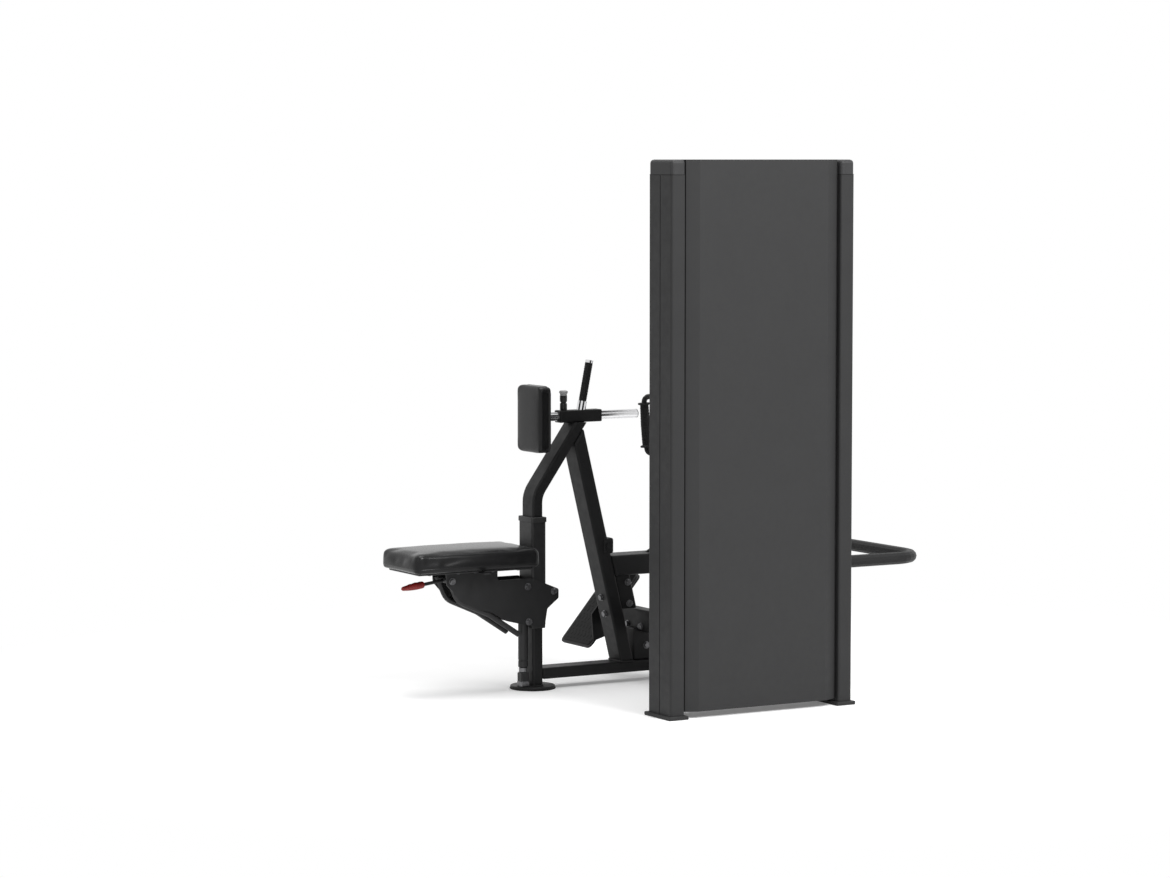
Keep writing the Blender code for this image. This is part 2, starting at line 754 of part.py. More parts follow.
def crossbar():
    """The footrest's crossbar on its box, with the bolt heads of the box."""
    reach = PLATE_X[0] - GAP
    bar = softened(block((-reach, reach), (CROSSBAR_Y - CROSSBAR_D / 2, CROSSBAR_Y + CROSSBAR_D / 2),
                         (CROSSBAR_Z, CROSSBAR_Z + CROSSBAR_H)), TUBE_CORNER)
    box = softened(block((-FOOT_BOX_W / 2, FOOT_BOX_W / 2), FOOT_BOX_Y,
                         (BASE_TOP + GAP, CROSSBAR_Z + 2 * TUBE_CORNER)), 0.004, 1)
    heads = [bolt_head(side * FOOT_BOX_W / 2, sum(FOOT_BOX_Y) / 2, (BASE_TOP + CROSSBAR_Z) / 2)
             for side in (-1, 1)]
    return union(bar, box, *heads)


def footrest(add):
    """Crossbar and both footplates."""
    black = paint("footrest_black", BLACK, 0.5, 0.0)
    add("footrest_crossbar", crossbar(), black)
    right = footplate()
    add("footplate_left", mirrored(right), black)
    add("footplate_right", right, black)


# Chest pad and brace grip

def pad_sleeve():
    """The square sleeve on the frame's apex, bored for the chest tube and the pop-pin."""
    half = SLEEVE_SIDE / 2
    body = softened(block((-half, half), SLEEVE_Y, (SLIDE_Z - half, SLIDE_Z + half)), 0.004)
    boss = cylinder((0, PIN_Y, SLIDE_Z + SLIDE_TUBE_R + 0.002), (0, PIN_Y, PIN_BOSS_TOP), PIN_BOSS_R)
    bore = cylinder((0, SLEEVE_Y[0] - half, SLIDE_Z), (0, SLEEVE_Y[1] + half, SLIDE_Z),
                    SLIDE_TUBE_R + GAP, 24)
    hole = cylinder((0, PIN_Y, SLIDE_Z), (0, PIN_Y, PIN_BOSS_TOP + half), PIN_R + RUN, 12)
    return cut(union(body, boss), bore, hole)


def chest_tube():
    """The chrome tube, with the pop-pin's groove and detents along its top."""
    front = CHEST_FACE_Y + CHEST_T + CHEST_BOARD_T + 2 * GAP
    bar = cylinder((0, front, SLIDE_Z), (0, SLIDE_TUBE_END_Y, SLIDE_Z), SLIDE_TUBE_R, 24)
    floor = SLIDE_Z + SLIDE_TUBE_R - GROOVE_DEPTH
    near = PIN_Y - CHEST_TRAVEL[1] - 3 * PIN_R
    far = PIN_Y - CHEST_TRAVEL[0] + 3 * PIN_R
    tools = [block((-PIN_R - RUN, PIN_R + RUN), (near, far), (floor, SLIDE_Z + 2 * SLIDE_TUBE_R))]
    nearest = -int(CHEST_TRAVEL[1] / DETENT_PITCH + 0.01)
    farthest = int(-CHEST_TRAVEL[0] / DETENT_PITCH + 0.01)
    for step in range(nearest, farthest + 1):
        y = PIN_Y + step * DETENT_PITCH
        tools.append(cylinder((0, y, floor - PIN_R), (0, y, floor + PIN_R), PIN_R * 0.9, 10))
    return cut(bar, *tools)


def brace_grip():
    """The upright stick behind the chest pad: its bar, then its collar and end cap."""
    along = Vector((0, math.sin(GRIP_LEAN), math.cos(GRIP_LEAN)))
    top = SLIDE_Z + SLEEVE_SIDE / 2 + GAP
    foot = Vector((0, GRIP_FOOT_Y, top))
    collar_end = foot + along * GRIP_COLLAR_L
    stick_end = foot + along * (GRIP_L - GRIP_CAP_L)
    collar = cut(cylinder(foot - along * GRIP_COLLAR_R, collar_end, GRIP_COLLAR_R),
                 block((-0.1, 0.1), (GRIP_FOOT_Y - 0.1, GRIP_FOOT_Y + 0.1), (top - 0.1, top)))
    stick = cylinder(collar_end + along * GAP, stick_end, GRIP_R)
    cap = cylinder(stick_end + along * GAP, foot + along * GRIP_L, GRIP_R + 0.0005)
    return stick, collar, cap


def chest_slide(add):
    """Sleeve, grip, and the pieces that slide with the chest pad."""
    black = paint("slide_black", BLACK, 0.45, 0.0)
    chrome = paint("chrome", CHROME, 0.12, 1.0)
    add("pad_sleeve", pad_sleeve(), black)
    stick, collar, cap = brace_grip()
    add("brace_grip", stick, paint("grip_rubber", RUBBER, 0.75, 0.0))
    add("brace_grip_collar", collar, chrome)
    add("brace_grip_cap", cap, chrome)
    back = CHEST_FACE_Y + CHEST_T
    pad = moved(cushion(CHEST_W, CHEST_H, CHEST_T, CHEST_CROWN, PAD_PULL),
                Matrix.Translation((0, back, CHEST_Z)) @ Matrix.Rotation(math.radians(90), 4, "X"))
    add("chest_pad", pad, paint("chest_vinyl", VINYL, 0.55, 0.0), "chest")
    board_reach = CHEST_W / 2 - CHEST_BOARD_INSET
    board_rise = CHEST_H / 2 - CHEST_BOARD_INSET
    add("chest_board", softened(block(
        (-board_reach, board_reach), (back + GAP, back + GAP + CHEST_BOARD_T),
        (CHEST_Z - board_rise, CHEST_Z + board_rise)), 0.002, 1), black, "chest")
    add("chest_tube", chest_tube(), chrome, "chest")
    tip = SLIDE_Z + SLIDE_TUBE_R - GROOVE_DEPTH + GAP
    pin = cylinder((0, PIN_Y, tip), (0, PIN_Y, PIN_BOSS_TOP + PIN_R), PIN_R, 12)
    base = PIN_BOSS_TOP + GAP
    wide, neck = PIN_KNOB_R, PIN_KNOB_NECK_R
    knob = turned([(0, PIN_KNOB_TOP), (wide - 0.002, PIN_KNOB_TOP), (wide, PIN_KNOB_TOP - 0.004),
                   (wide, base + 0.014), (neck, base + 0.008), (neck, base), (0, base)],
                  (0, PIN_Y, 0), steps=16)
    add("pop_pin", union(pin, knob), black, "pop_pin")


# Seat carriage

def carriage_sleeve():
    """The rectangular sleeve that runs on the post."""
    half_w, half_d = POST_W / 2, POST_D / 2
    wall = CARRIAGE_WALL
    outer = softened(block((-half_w - wall, half_w + wall), (-half_d - wall, half_d + wall),
                           CARRIAGE_Z), TUBE_CORNER)
    inner = softened(block((-half_w - GAP, half_w + GAP), (-half_d - GAP, half_d + GAP),
                           (CARRIAGE_Z[0] - 0.1, CARRIAGE_Z[1] + 0.1)), TUBE_CORNER)
    return cut(outer, inner)


def bolt_places():
    """(y, z, radius) of the pins through both side plates."""
    return [(SPRING_Y, SPRING_EYE_Z, CARRIAGE_PIN_R), (*REAR_PIN, CARRIAGE_PIN_R),
            (LEVER_Y, LEVER_Z, LEVER_PIN_R)]


def side_plate():
    """The right profiled plate with its curved strut and short bolt, bored for the pins."""
    near = POST_W / 2 + CARRIAGE_WALL + GAP
    face = near + SIDE_PLATE_T
    top = SEAT_BOARD_Z - GAP
    outline = [(y, top if z is None else z) for y, z in SIDE_PLATE]
    plate = extruded(rounded_outline(outline, SIDE_PLATE_CORNER), near, face, "X")
    x = near - STRUT_R / 2
    strut = tube(rounded_path([(x, y, z) for y, z in STRUT_PATH], STRUT_BEND_R, 4), STRUT_R, 2)
    short = cylinder((near + 0.001, *LOW_BOLT), (face + BOLT_HEAD_T, *LOW_BOLT), BOLT_HEAD_R, 12)
    bores = [cylinder((near - 2 * STRUT_R, y, z), (face + STRUT_R, y, z), radius + GAP, 12)
             for y, z, radius in bolt_places()]
    return cut(union(plate, strut, short), *bores)


def plate_pin(y, z, radius):
    """A pin through both side plates, with a head at each end."""
    face = POST_W / 2 + CARRIAGE_WALL + 2 * GAP + SIDE_PLATE_T
    heads = [cylinder((side * face, y, z), (side * (face + BOLT_HEAD_T), y, z), BOLT_HEAD_R, 12)
             for side in (-1, 1)]
    return union(bar_x(y, z, face + BOLT_HEAD_T / 2, radius, 12), *heads)


def gas_spring():
    """The cylinder on its foot bracket, and the rod with its eye on the carriage's pin."""
    centre = (SPRING_X, SPRING_Y, 0)
    low, high = SPRING_FOOT_Z, SPRING_TOP_Z
    ring = low + SPRING_RING_UP
    spigot = low - SPRING_SPIGOT_L
    inner = SPRING_R - SPRING_RING_DEEP
    profile = [(0, spigot), (SPRING_SPIGOT_R, spigot), (SPRING_SPIGOT_R, low), (SPRING_R - 0.002, low),
               (SPRING_R, low + 0.002), (SPRING_R, ring), (inner, ring + 0.001),
               (inner, ring + 0.004), (SPRING_R, ring + 0.005), (SPRING_R, high),
               (SPRING_ROD_R + RUN, high), (SPRING_ROD_R + RUN, SPRING_BORE_Z), (0, SPRING_BORE_Z)]
    body = turned(list(reversed(profile)), centre, steps=20)
    half = SPRING_R - 0.002
    bracket = softened(block((SPRING_X - half, SPRING_X + half), (SPRING_Y - half, SPRING_Y + half),
                             (FOOT_T + GAP, spigot + 0.002)), 0.003, 1)
    rod = cylinder((SPRING_X, SPRING_Y, SPRING_ROD_Z), (SPRING_X, SPRING_Y, SPRING_EYE_Z - 0.004),
                   SPRING_ROD_R, 16)
    reach = SPRING_ROD_R * EYE_SHARE
    eye = cylinder((SPRING_X - reach, SPRING_Y, SPRING_EYE_Z),
                   (SPRING_X + reach, SPRING_Y, SPRING_EYE_Z), CARRIAGE_PIN_R * 2, 16)
    hole = bar_x(SPRING_Y, SPRING_EYE_Z, 0.1, CARRIAGE_PIN_R + GAP, 12)
    return union(body, bracket), cut(union(rod, eye), hole)


def seat_lever():
    """The release lever on its pin, and its grip."""
    pivot = Vector((0, LEVER_Y, LEVER_Z))
    way = Vector((0, GRIP_END[0] - LEVER_Y, GRIP_END[1] - LEVER_Z)).normalized()
    end = Vector((0, *GRIP_END))
    hub = bar_x(LEVER_Y, LEVER_Z, LEVER_HUB_REACH, LEVER_HUB_R, 16)
    bar = cylinder(pivot, end - way * LEVER_GRIP_END, LEVER_R, 12)
    lever = cut(union(hub, bar), bar_x(LEVER_Y, LEVER_Z, 0.1, LEVER_PIN_R + RUN, 12))
    turn = Vector((0, 0, 1)).rotation_difference(way).to_matrix().to_4x4()
    grip = turned([(0, LEVER_GRIP_L), (0.008, LEVER_GRIP_L), (LEVER_GRIP_R, LEVER_GRIP_L - 0.005),
                   (LEVER_GRIP_R - 0.001, LEVER_GRIP_L / 2), (LEVER_GRIP_R, 0.004),
                   (LEVER_GRIP_R - 0.003, 0), (0, 0)], (0, 0, 0), steps=16)
    grip = moved(grip, Matrix.Translation(end - way * LEVER_GRIP_L) @ turn)
    bore = cylinder(end - way * (LEVER_GRIP_L + 0.02), end - way * (LEVER_GRIP_END - GAP), LEVER_R + GAP, 12)
    return lever, cut(grip, bore)


def seat_carriage(add):
    """Sleeve, plates, struts, gas spring, lever, board and seat pad."""
    black = paint("carriage_black", BLACK, 0.45, 0.0)
    steel = paint("pin_steel", STEEL, 0.3, 1.0)
    add("carriage_sleeve", carriage_sleeve(), black, "carriage")
    right = side_plate()
    add("side_plate_left", mirrored(right), black, "carriage")
    add("side_plate_right", right, black, "carriage")
    for name, place in zip(("spring_pin", "rear_pin", "lever_pin"), bolt_places()):
        add(name, plate_pin(*place), steel, "carriage")
    body, rod = gas_spring()
    add("gas_cylinder", body, black)
    add("gas_rod", rod, paint("rod_chrome", CHROME, 0.15, 1.0), "carriage")
    middle = sum(SEAT_Y) / 2
    length = SEAT_Y[1] - SEAT_Y[0]
    board_y = (SEAT_Y[0] + SEAT_BOARD_INSET, SEAT_Y[1] - SEAT_BOARD_INSET)
    board_reach = SEAT_W / 2 - SEAT_BOARD_INSET
    add("seat_board", softened(block((-board_reach, board_reach), board_y,
                                     (SEAT_BOARD_Z, SEAT_BOARD_Z + SEAT_BOARD_T)), 0.002, 1),
        black, "carriage")
    pad = moved(cushion(SEAT_W, length, SEAT_T, SEAT_CROWN, PAD_PULL),
                Matrix.Translation((0, middle, SEAT_BOARD_Z + SEAT_BOARD_T + GAP)))
    add("seat_pad", pad, paint("seat_vinyl", VINYL, 0.55, 0.0), "carriage")
    lever, grip = seat_lever()
    add("seat_lever", lever, black, "lever")
    add("lever_grip", grip, paint("lever_red", RED, 0.4, 0.0), "lever")


# Row arms

def row_arm():
    """The right arm: hub, hanging bar and the bent rod that holds the grip."""
    half = ARM_W / 2
    bar = softened(block((ARM_X - half, ARM_X + half), (PIVOT_Y - ARM_D / 2, PIVOT_Y + ARM_D / 2),
                         (ARM_BOTTOM, PIVOT_Z)), TUBE_CORNER, 1)
    hub = cylinder((HUB_X[0], PIVOT_Y, PIVOT_Z), (HUB_X[1], PIVOT_Y, PIVOT_Z), HUB_R, 24)
    rod = tube(rounded_path(handle_corners(), HANDLE_BEND_R, 4), HANDLE_ROD_R, 2)
    bore = bar_x(PIVOT_Y, PIVOT_Z, 1.0, SHAFT_R + RUN, 24)
    return cut(union(bar, hub, rod), bore)


def handle_corners():
    """The corners of the bent rod, from the arm round to the arm."""
    lean = math.tan(HANDLE_LEAN) * (HANDLE_Z[1] - HANDLE_Z[0]) / 2
    high = HANDLE_Z[1] + HANDLE_STUB
    low = HANDLE_Z[0] - HANDLE_STUB
    return [Vector((ARM_X, PIVOT_Y, high)), Vector((ARM_X, HANDLE_Y - lean, high)),
            Vector((ARM_X, HANDLE_Y + lean, low)), Vector((ARM_X, PIVOT_Y, low))]


def handle_grip():
    """The right grip: a rubber sleeve between two flanges, on the bent rod."""
    top, bottom = handle_corners()[1:3]
    half = (HANDLE_Z[1] - HANDLE_Z[0]) / 2
    bore = HANDLE_ROD_R + GAP
    profile = [(HANDLE_FLANGE_R, half), (HANDLE_FLANGE_R, half - 0.005),
               (HANDLE_GRIP_R, half - 0.008), (HANDLE_GRIP_R + 0.0015, 0),
               (HANDLE_GRIP_R, -half + 0.008), (HANDLE_FLANGE_R, -half + 0.005),
               (HANDLE_FLANGE_R, -half), (bore, -half), (bore, half)]
    ring = turned(profile, (0, 0, 0), steps=16)
    turn = Vector((0, 0, 1)).rotation_difference(top - bottom).to_matrix().to_4x4()
    return moved(ring, Matrix.Translation((top + bottom) / 2) @ turn)


def groove_wheel(radius, rim, bore, width, centre, axis, steps=24):
    """A wheel whose groove carries a cable at the given radius."""
    half = width / 2
    floor = radius - CABLE_R - RUN
    profile = [(radius + rim, half), (radius + rim, half - 0.002), (floor, CABLE_R + 0.0008),
               (floor, -CABLE_R - 0.0008), (radius + rim, -half + 0.002), (radius + rim, -half),
               (bore, -half), (bore, half)]
    return turned(profile, centre, axis, steps)


def arm_shaft():
    """The shaft through the mast, with spacers inside the hubs and collars outside them."""
    reach = HUB_X[1] + SIDE_PLAY + COLLAR_T
    parts = []
    for side in (-1, 1):
        for near, far in ((HUB_X[1] + SIDE_PLAY, reach), (MAST_W / 2 + GAP, HUB_X[0] - SIDE_PLAY)):
            parts.append(cylinder((side * near, PIVOT_Y, PIVOT_Z), (side * far, PIVOT_Y, PIVOT_Z),
                                  COLLAR_R, 24))
    return union(bar_x(PIVOT_Y, PIVOT_Z, reach - 0.001, SHAFT_R, 24), *parts)


def arm_stops():
    """The bar behind the arms, with its spacer on the mast and its two pads."""
    arm_back = PIVOT_Y + ARM_D / 2 + GAP
    bar_y = arm_back + STOP_PAD_T
    z = (STOP_BAR_Z - STOP_BAR_H / 2, STOP_BAR_Z + STOP_BAR_H / 2)
    bar = softened(block((-ARM_X - ARM_W, ARM_X + ARM_W), (bar_y, bar_y + STOP_BAR_D), z), 0.004, 1)
    spacer = extruded([(mast_face(1, z[0]) + GAP, z[0]), (bar_y + STOP_BAR_D / 2, z[0]),
                       (bar_y + STOP_BAR_D / 2, z[1]), (mast_face(1, z[1]) + GAP, z[1])],
                      -MAST_W / 4, MAST_W / 4, "X")
    pads = [cylinder((side * ARM_X, arm_back, STOP_BAR_Z),
                     (side * ARM_X, bar_y + STOP_BAR_D / 2, STOP_BAR_Z), STOP_PAD_R, 12)
            for side in (-1, 1)]
    return union(bar, spacer, *pads)


def row_arms(add):
    """Shaft, stops, arms, cams, grips and the cables from the cams to the housing."""
    black = paint("arm_black", BLACK, 0.45, 0.0)
    rubber = paint("handle_rubber", RUBBER, 0.8, 0.0)
    add("arm_shaft", arm_shaft(), paint("shaft_steel", STEEL, 0.3, 1.0))
    add("arm_stop_bar", arm_stops(), black)
    cam = groove_wheel(CAM_R, CAM_RIM, HUB_R + 2 * GAP, CAM_W, (CAM_X, PIVOT_Y, PIVOT_Z), "X", 32)
    aluminium = paint("cam_aluminium", STEEL, 0.4, 1.0)
    shapes = (("arm", row_arm(), black), ("cam", cam, aluminium), ("row_grip", handle_grip(), rubber))
    for name, mesh, material in shapes:
        add(name + "_left", mirrored(mesh), material, "left_arm")
        add(name + "_right", mesh, material, "right_arm")


# Tower

def upright(y):
    """One upright of the tower on its foot plate, with the shadow groove in its end face."""
    outline = rounded_outline(rectangle(TOWER_X, y), UPRIGHT_CORNER)
    bar = extruded(outline, TOWER_FOOT_T / 2, UPRIGHT_TOP, "Z")
    lip = TOWER_FOOT_LIP
    foot = softened(block((TOWER_X[0] - lip, TOWER_X[1] + lip), (y[0] - lip, y[1] + lip),
                          (0, TOWER_FOOT_T)), 0.002, 1)
    face = y[0] if y == UPRIGHT_FRONT_Y else y[1]
    middle = sum(TOWER_X) / 2
    bar = cut(bar, block((middle - 0.002, middle + 0.002), (face - 0.0015, face + 0.0015),
                         (0, TOWER_H)))
    return union(bar, foot)


def tower_cap():
    """The moulded cap: a rounded block on each upright and the cover between them."""
    low = UPRIGHT_TOP + GAP
    ends = []
    for y in (UPRIGHT_FRONT_Y, UPRIGHT_REAR_Y):
        tall = softened(block(TOWER_X, y, (low - 0.05, TOWER_H)), CAP_CORNER, 3)
        ends.append(cut(tall, block((0, 2), (-1, 2), (low - 0.1, low))))
    cover_x = (TOWER_X[0] + COVER_DROP, PANEL_FACE_X - PANEL_CHAMFER[0] - PANEL_HOOK - GAP)
    cover = block(cover_x, (UPRIGHT_FRONT_Y[1] - COVER_LAP, UPRIGHT_REAR_Y[0] + COVER_LAP),
                  (TOWER_H - COVER_DROP - COVER_T, TOWER_H - COVER_DROP))
    return union(ends[0], cover, ends[1])


def outer_panel():
    """The folded outer panel with its chamfered edges, hooked on the uprights."""
    depth, width = PANEL_CHAMFER
    face, back = PANEL_FACE_X, PANEL_FACE_X - depth
    low, high = UPRIGHT_FRONT_Y[1] + GAP, UPRIGHT_REAR_Y[0] - GAP
    half = [(back - PANEL_HOOK, 0), (back - PANEL_HOOK / 2, 0), (back - PANEL_HOOK / 2, PANEL_GROOVE),
            (back, PANEL_GROOVE), (face, PANEL_GROOVE + width)]
    path = [(x, high - y) for x, y in half] + [(x, low + y) for x, y in reversed(half)]
    return extruded(sheet_outline(path, PANEL_T), PANEL_BOTTOM, TOWER_H, "Z")


def tower_base():
    """The cross-member at the tower's foot, with the bumpers that the blocks rest on."""
    bar = softened(block(TOWER_BASE_X, (UPRIGHT_FRONT_Y[1] + GAP, UPRIGHT_REAR_Y[0] - GAP),
                         TOWER_BASE_Z), 0.003, 1)
    low, high = TOWER_BASE_Z
    bumpers = []
    bores = []
    for side in (-1, 1):
        y = STACK_Y + side * ROD_SPREAD
        bumpers.append(cylinder((ROD_X, y, high - 0.005), (ROD_X, y, high + BUMPER_H), BUMPER_R))
        bores.append(cylinder((ROD_X, y, low + ROD_R), (ROD_X, y, high + 2 * BUMPER_H),
                              ROD_R + RUN, 12))
    return cut(union(bar, *bumpers), *bores)


def hanger():
    """The plate between the uprights that hangs both pulleys."""
    plate = block(TOWER_BASE_X, (UPRIGHT_FRONT_Y[1] + GAP, UPRIGHT_REAR_Y[0] - GAP), HANGER_Z)
    parts = []
    sink = HANGER_Z[0] + AXLE_SHOULDER
    x, y = CORNER_PULLEY
    top, bottom = CABLE_Z + PULLEY_W / 2 + GAP, CABLE_Z - PULLEY_W / 2 - GAP
    parts.append(cylinder((x, y, bottom - WASHER_T + AXLE_SHOULDER), (x, y, sink), AXLE_R, 16))
    parts.append(cylinder((x, y, top), (x, y, sink), HANGER_BOSS_R, 16))
    parts.append(cylinder((x, y, bottom - WASHER_T), (x, y, bottom), HANGER_BOSS_R, 16))
    y, z = TOP_PULLEY
    parts.append(cylinder((STACK_X - EAR_REACH, y, z), (STACK_X + EAR_REACH, y, z), AXLE_R, 16))
    for side in (-1, 1):
        x = sorted((STACK_X + side * EAR_REACH, STACK_X + side * (EAR_REACH - EAR_T)))
        parts.append(block(x, (y - EAR_W / 2, y + EAR_W / 2), (z - EAR_W / 2, sink)))
        parts.append(cylinder((STACK_X + side * (PULLEY_W / 2 + GAP), y, z),
                              (STACK_X + side * (EAR_REACH - EAR_T / 2), y, z), HANGER_BOSS_R, 16))
    return union(plate, *parts)


def tower(add):
    """Uprights, feet, cap, panel, base, hanger and the cable housing."""
    grey = paint("tower_charcoal", CHARCOAL, 0.5, 0.0)
    black = paint("tower_black", BLACK, 0.5, 0.0)
    add("tower_upright_front", upright(UPRIGHT_FRONT_Y), grey)
    add("tower_upright_rear", upright(UPRIGHT_REAR_Y), grey)
    add("tower_cap", tower_cap(), grey)
    add("outer_panel", outer_panel(), grey)
    add("tower_base", tower_base(), black)
    add("pulley_hanger", hanger(), black)
    box = softened(block((-HOUSING_X, HOUSING_X), HOUSING_Y, HOUSING_Z), 0.005, 1)
    bridge = softened(block((HOUSING_X - 0.02, TOWER_X[0] - GAP), BRIDGE_Y, BRIDGE_Z), 0.004, 1)
    add("cable_housing", union(box, bridge), black)


# Weight stack

def stack_blocks(low, thickness, count, stem_play):
    """A pile of blocks: grooved at each joint, bored for rods, stem and selector pin."""
    half_x, half_y = BLOCK_SIZE[0] / 2, BLOCK_SIZE[1] / 2
    work = bmesh.new()
    bmesh.ops.create_grid(work, x_segments=1, y_segments=1, size=1.0)
    rings = []
    for i in range(count):
        start = i * thickness
        rings += [(start, BLOCK_GROOVE), (start + BLOCK_GROOVE, 0),
                  (start + thickness - BLOCK_GROOVE, 0)]
    rings.append((count * thickness, BLOCK_GROOVE))
    loop = list(work.edges)
    for i, (height, inset) in enumerate(rings):
        if i:
            grown = bmesh.ops.extrude_edge_only(work, edges=loop)["geom"]
            loop = [part for part in grown if isinstance(part, bmesh.types.BMEdge)]
        for vert in {vert for edge in loop for vert in edge.verts}:
            vert.co.x = math.copysign(half_x - inset, vert.co.x)
            vert.co.y = math.copysign(half_y - inset, vert.co.y)
            vert.co.z = height
    bmesh.ops.contextual_create(work, geom=loop)
    mesh = bpy.data.meshes.new("pile")
    work.to_mesh(mesh)
    work.free()
    pile = moved(tidy(mesh), Matrix.Translation((STACK_X, STACK_Y, low)))
    high = low + count * thickness
    tools = [cylinder((STACK_X, STACK_Y, low - 0.01), (STACK_X, STACK_Y, high + 0.01),
                      STEM_R + stem_play, 16)]
    for side in (-1, 1):
        y = STACK_Y + side * ROD_SPREAD
        tools.append(cylinder((ROD_X, y, low - 0.01), (ROD_X, y, high + 0.01),
                              ROD_R + ROD_PLAY, 12))
    for i in range(count):
        z = low + (i + 0.5) * thickness
        tools.append(cylinder((STACK_X - 2 * half_x, STACK_Y, z), (STACK_X, STACK_Y, z),
                              SELECTOR_R + ROD_PLAY, 8))
    return cut(pile, *tools)


def stem():
    """The lifting stem, hollow for the cable and drilled for the selector pin."""
    low = STACK_Z + STEM_CLEARANCE
    bore_end = STEM_TOP - LIFT_TRAVEL - STEM_BORE_ROOM
    body = turned([(0, bore_end), (STEM_BORE_R, bore_end), (STEM_BORE_R, STEM_TOP),
                   (STEM_R, STEM_TOP), (STEM_R, low), (0, low)], (STACK_X, STACK_Y, 0), steps=16)
    wall = STACK_X - STEM_BORE_R - PIN_SEAT
    return cut(body, cylinder((STACK_X - 2 * STEM_R, STACK_Y, SELECTOR_Z),
                              (wall, STACK_Y, SELECTOR_Z), SELECTOR_R + GAP, 8))


def selector_pin():
    """The pin and its knob, pushed into the lowest lifted block."""
    face = STACK_X - BLOCK_SIZE[0] / 2 - GAP
    tip = STACK_X - STEM_BORE_R - PIN_SEAT - GAP
    pin = cylinder((face - 0.005, STACK_Y, SELECTOR_Z), (tip, STACK_Y, SELECTOR_Z), SELECTOR_R, 8)
    wide, neck, end = SELECTOR_KNOB_R, SELECTOR_KNOB_R - 0.003, SELECTOR_KNOB_L
    knob = turned([(0, end), (neck, end), (neck, 0.012), (wide, 0.008), (wide, 0.002),
                   (wide - 0.002, 0), (0, 0)], (0, 0, 0), steps=16)
    turn = Matrix.Translation((face - end, STACK_Y, SELECTOR_Z)) @ PLANES["X"]
    return union(pin, moved(knob, turn))


def cable_path():
    """The cable from the housing round both pulleys and down into the stem."""
    x, y = CORNER_PULLEY
    points = [(TOWER_X[0] + GAP, y + PULLEY_R, CABLE_Z)]
    points += [(u, v, CABLE_Z) for u, v in arc((x, y), PULLEY_R, math.pi / 2, 0, 9)]
    y, z = TOP_PULLEY
    points += [(STACK_X, u, v) for u, v in arc((y, z), PULLEY_R, math.pi / 2, math.pi, 9)]
    points.append((STACK_X, STACK_Y, STEM_TOP - CABLE_TAIL))
    return points


def weight_stack(add):
    """Rods, bumpers, blocks, stem, pin, pulleys and cables."""
    steel = paint("rod_steel", CHROME, 0.2, 1.0)
    iron = paint("block_iron", (0.03, 0.03, 0.03), 0.55, 0.0)
    floor = TOWER_BASE_Z[0] + ROD_R + GAP
    for side, name in ((-1, "guide_rod_front"), (1, "guide_rod_rear")):
        y = STACK_Y + side * ROD_SPREAD
        add(name, cylinder((ROD_X, y, floor), (ROD_X, y, HANGER_Z[0] - GAP), ROD_R, 12), steel)
    thickness = BLOCK_SIZE[2]
    add("stack_blocks_resting", stack_blocks(STACK_Z, thickness, BLOCKS_RESTING, ROD_PLAY), iron)
    add("stack_blocks_lifted", stack_blocks(LIFTED_Z, thickness, BLOCKS_LIFTED, ROD_PLAY), iron,
        "stack")
    add("stack_top_block", stack_blocks(TOP_BLOCK_Z, TOP_BLOCK_T, 1, GAP), iron, "stack")
    add("selector_stem", stem(), steel, "stack")
    add("selector_pin", selector_pin(), paint("pin_red", RED, 0.4, 0.0), "selector")
    x, y = CORNER_PULLEY
    nylon = paint("pulley_nylon", (0.02, 0.02, 0.02), 0.5, 0.0)
    add("corner_pulley", groove_wheel(PULLEY_R, PULLEY_RIM, AXLE_R + RUN, PULLEY_W,
                                      (x, y, CABLE_Z), "Z"), nylon, "corner_pulley")
    y, z = TOP_PULLEY
    add("top_pulley", groove_wheel(PULLEY_R, PULLEY_RIM, AXLE_R + RUN, PULLEY_W,
                                   (STACK_X, y, z), "X"), nylon, "top_pulley")
    coated = paint("cable_black", RUBBER, 0.5, 0.0)
    add("main_cable", tube(cable_path(), CABLE_R, 2), coated)
    for side, name in ((-1, "arm_cable_left"), (1, "arm_cable_right")):
        start = (side * CAM_X, PIVOT_Y + CAM_R, PIVOT_Z)
        add(name, tube([start, (*start[:2], MAST_TOP_Z - GAP)], CABLE_R, 2), coated)


def main():
    """Builds the machine."""
    clear_scene()
    machine = new_collection("row_machine")
    pivots = {
        "chest": (0, SLEEVE_Y[0], SLIDE_Z),
        "pop_pin": (0, PIN_Y, PIN_BOSS_TOP),
        "carriage": (0, 0, CARRIAGE_Z[0]),
        "lever": (0, LEVER_Y, LEVER_Z),
        "left_arm": (-ARM_X, PIVOT_Y, PIVOT_Z),
        "right_arm": (ARM_X, PIVOT_Y, PIVOT_Z),
        "stack": (STACK_X, STACK_Y, LIFTED_Z),
        "selector": (STACK_X - BLOCK_SIZE[0] / 2, STACK_Y, SELECTOR_Z),
        "corner_pulley": (*CORNER_PULLEY, CABLE_Z),
        "top_pulley": (STACK_X, *TOP_PULLEY),
    }
    carriers = {}
    for name, place in pivots.items():
        empty = bpy.data.objects.new(name + "_axis", None)
        empty.location = place
        machine.objects.link(empty)
        carriers[name] = empty

    def add(name, mesh, material, body=None):
        mesh.name = name
        mesh.shade_smooth()
        mesh.set_sharp_from_angle(angle=math.radians(35))
        mesh.materials.clear()
        mesh.materials.append(material)
        item = bpy.data.objects.new(name, mesh)
        machine.objects.link(item)
        if body:
            item.parent = carriers[body]
            item.location = -Vector(pivots[body])

    for section in (centre_frame, footrest, chest_slide, seat_carriage, row_arms, tower, weight_stack):
        section(add)
    bpy.context.view_layer.update()


main()
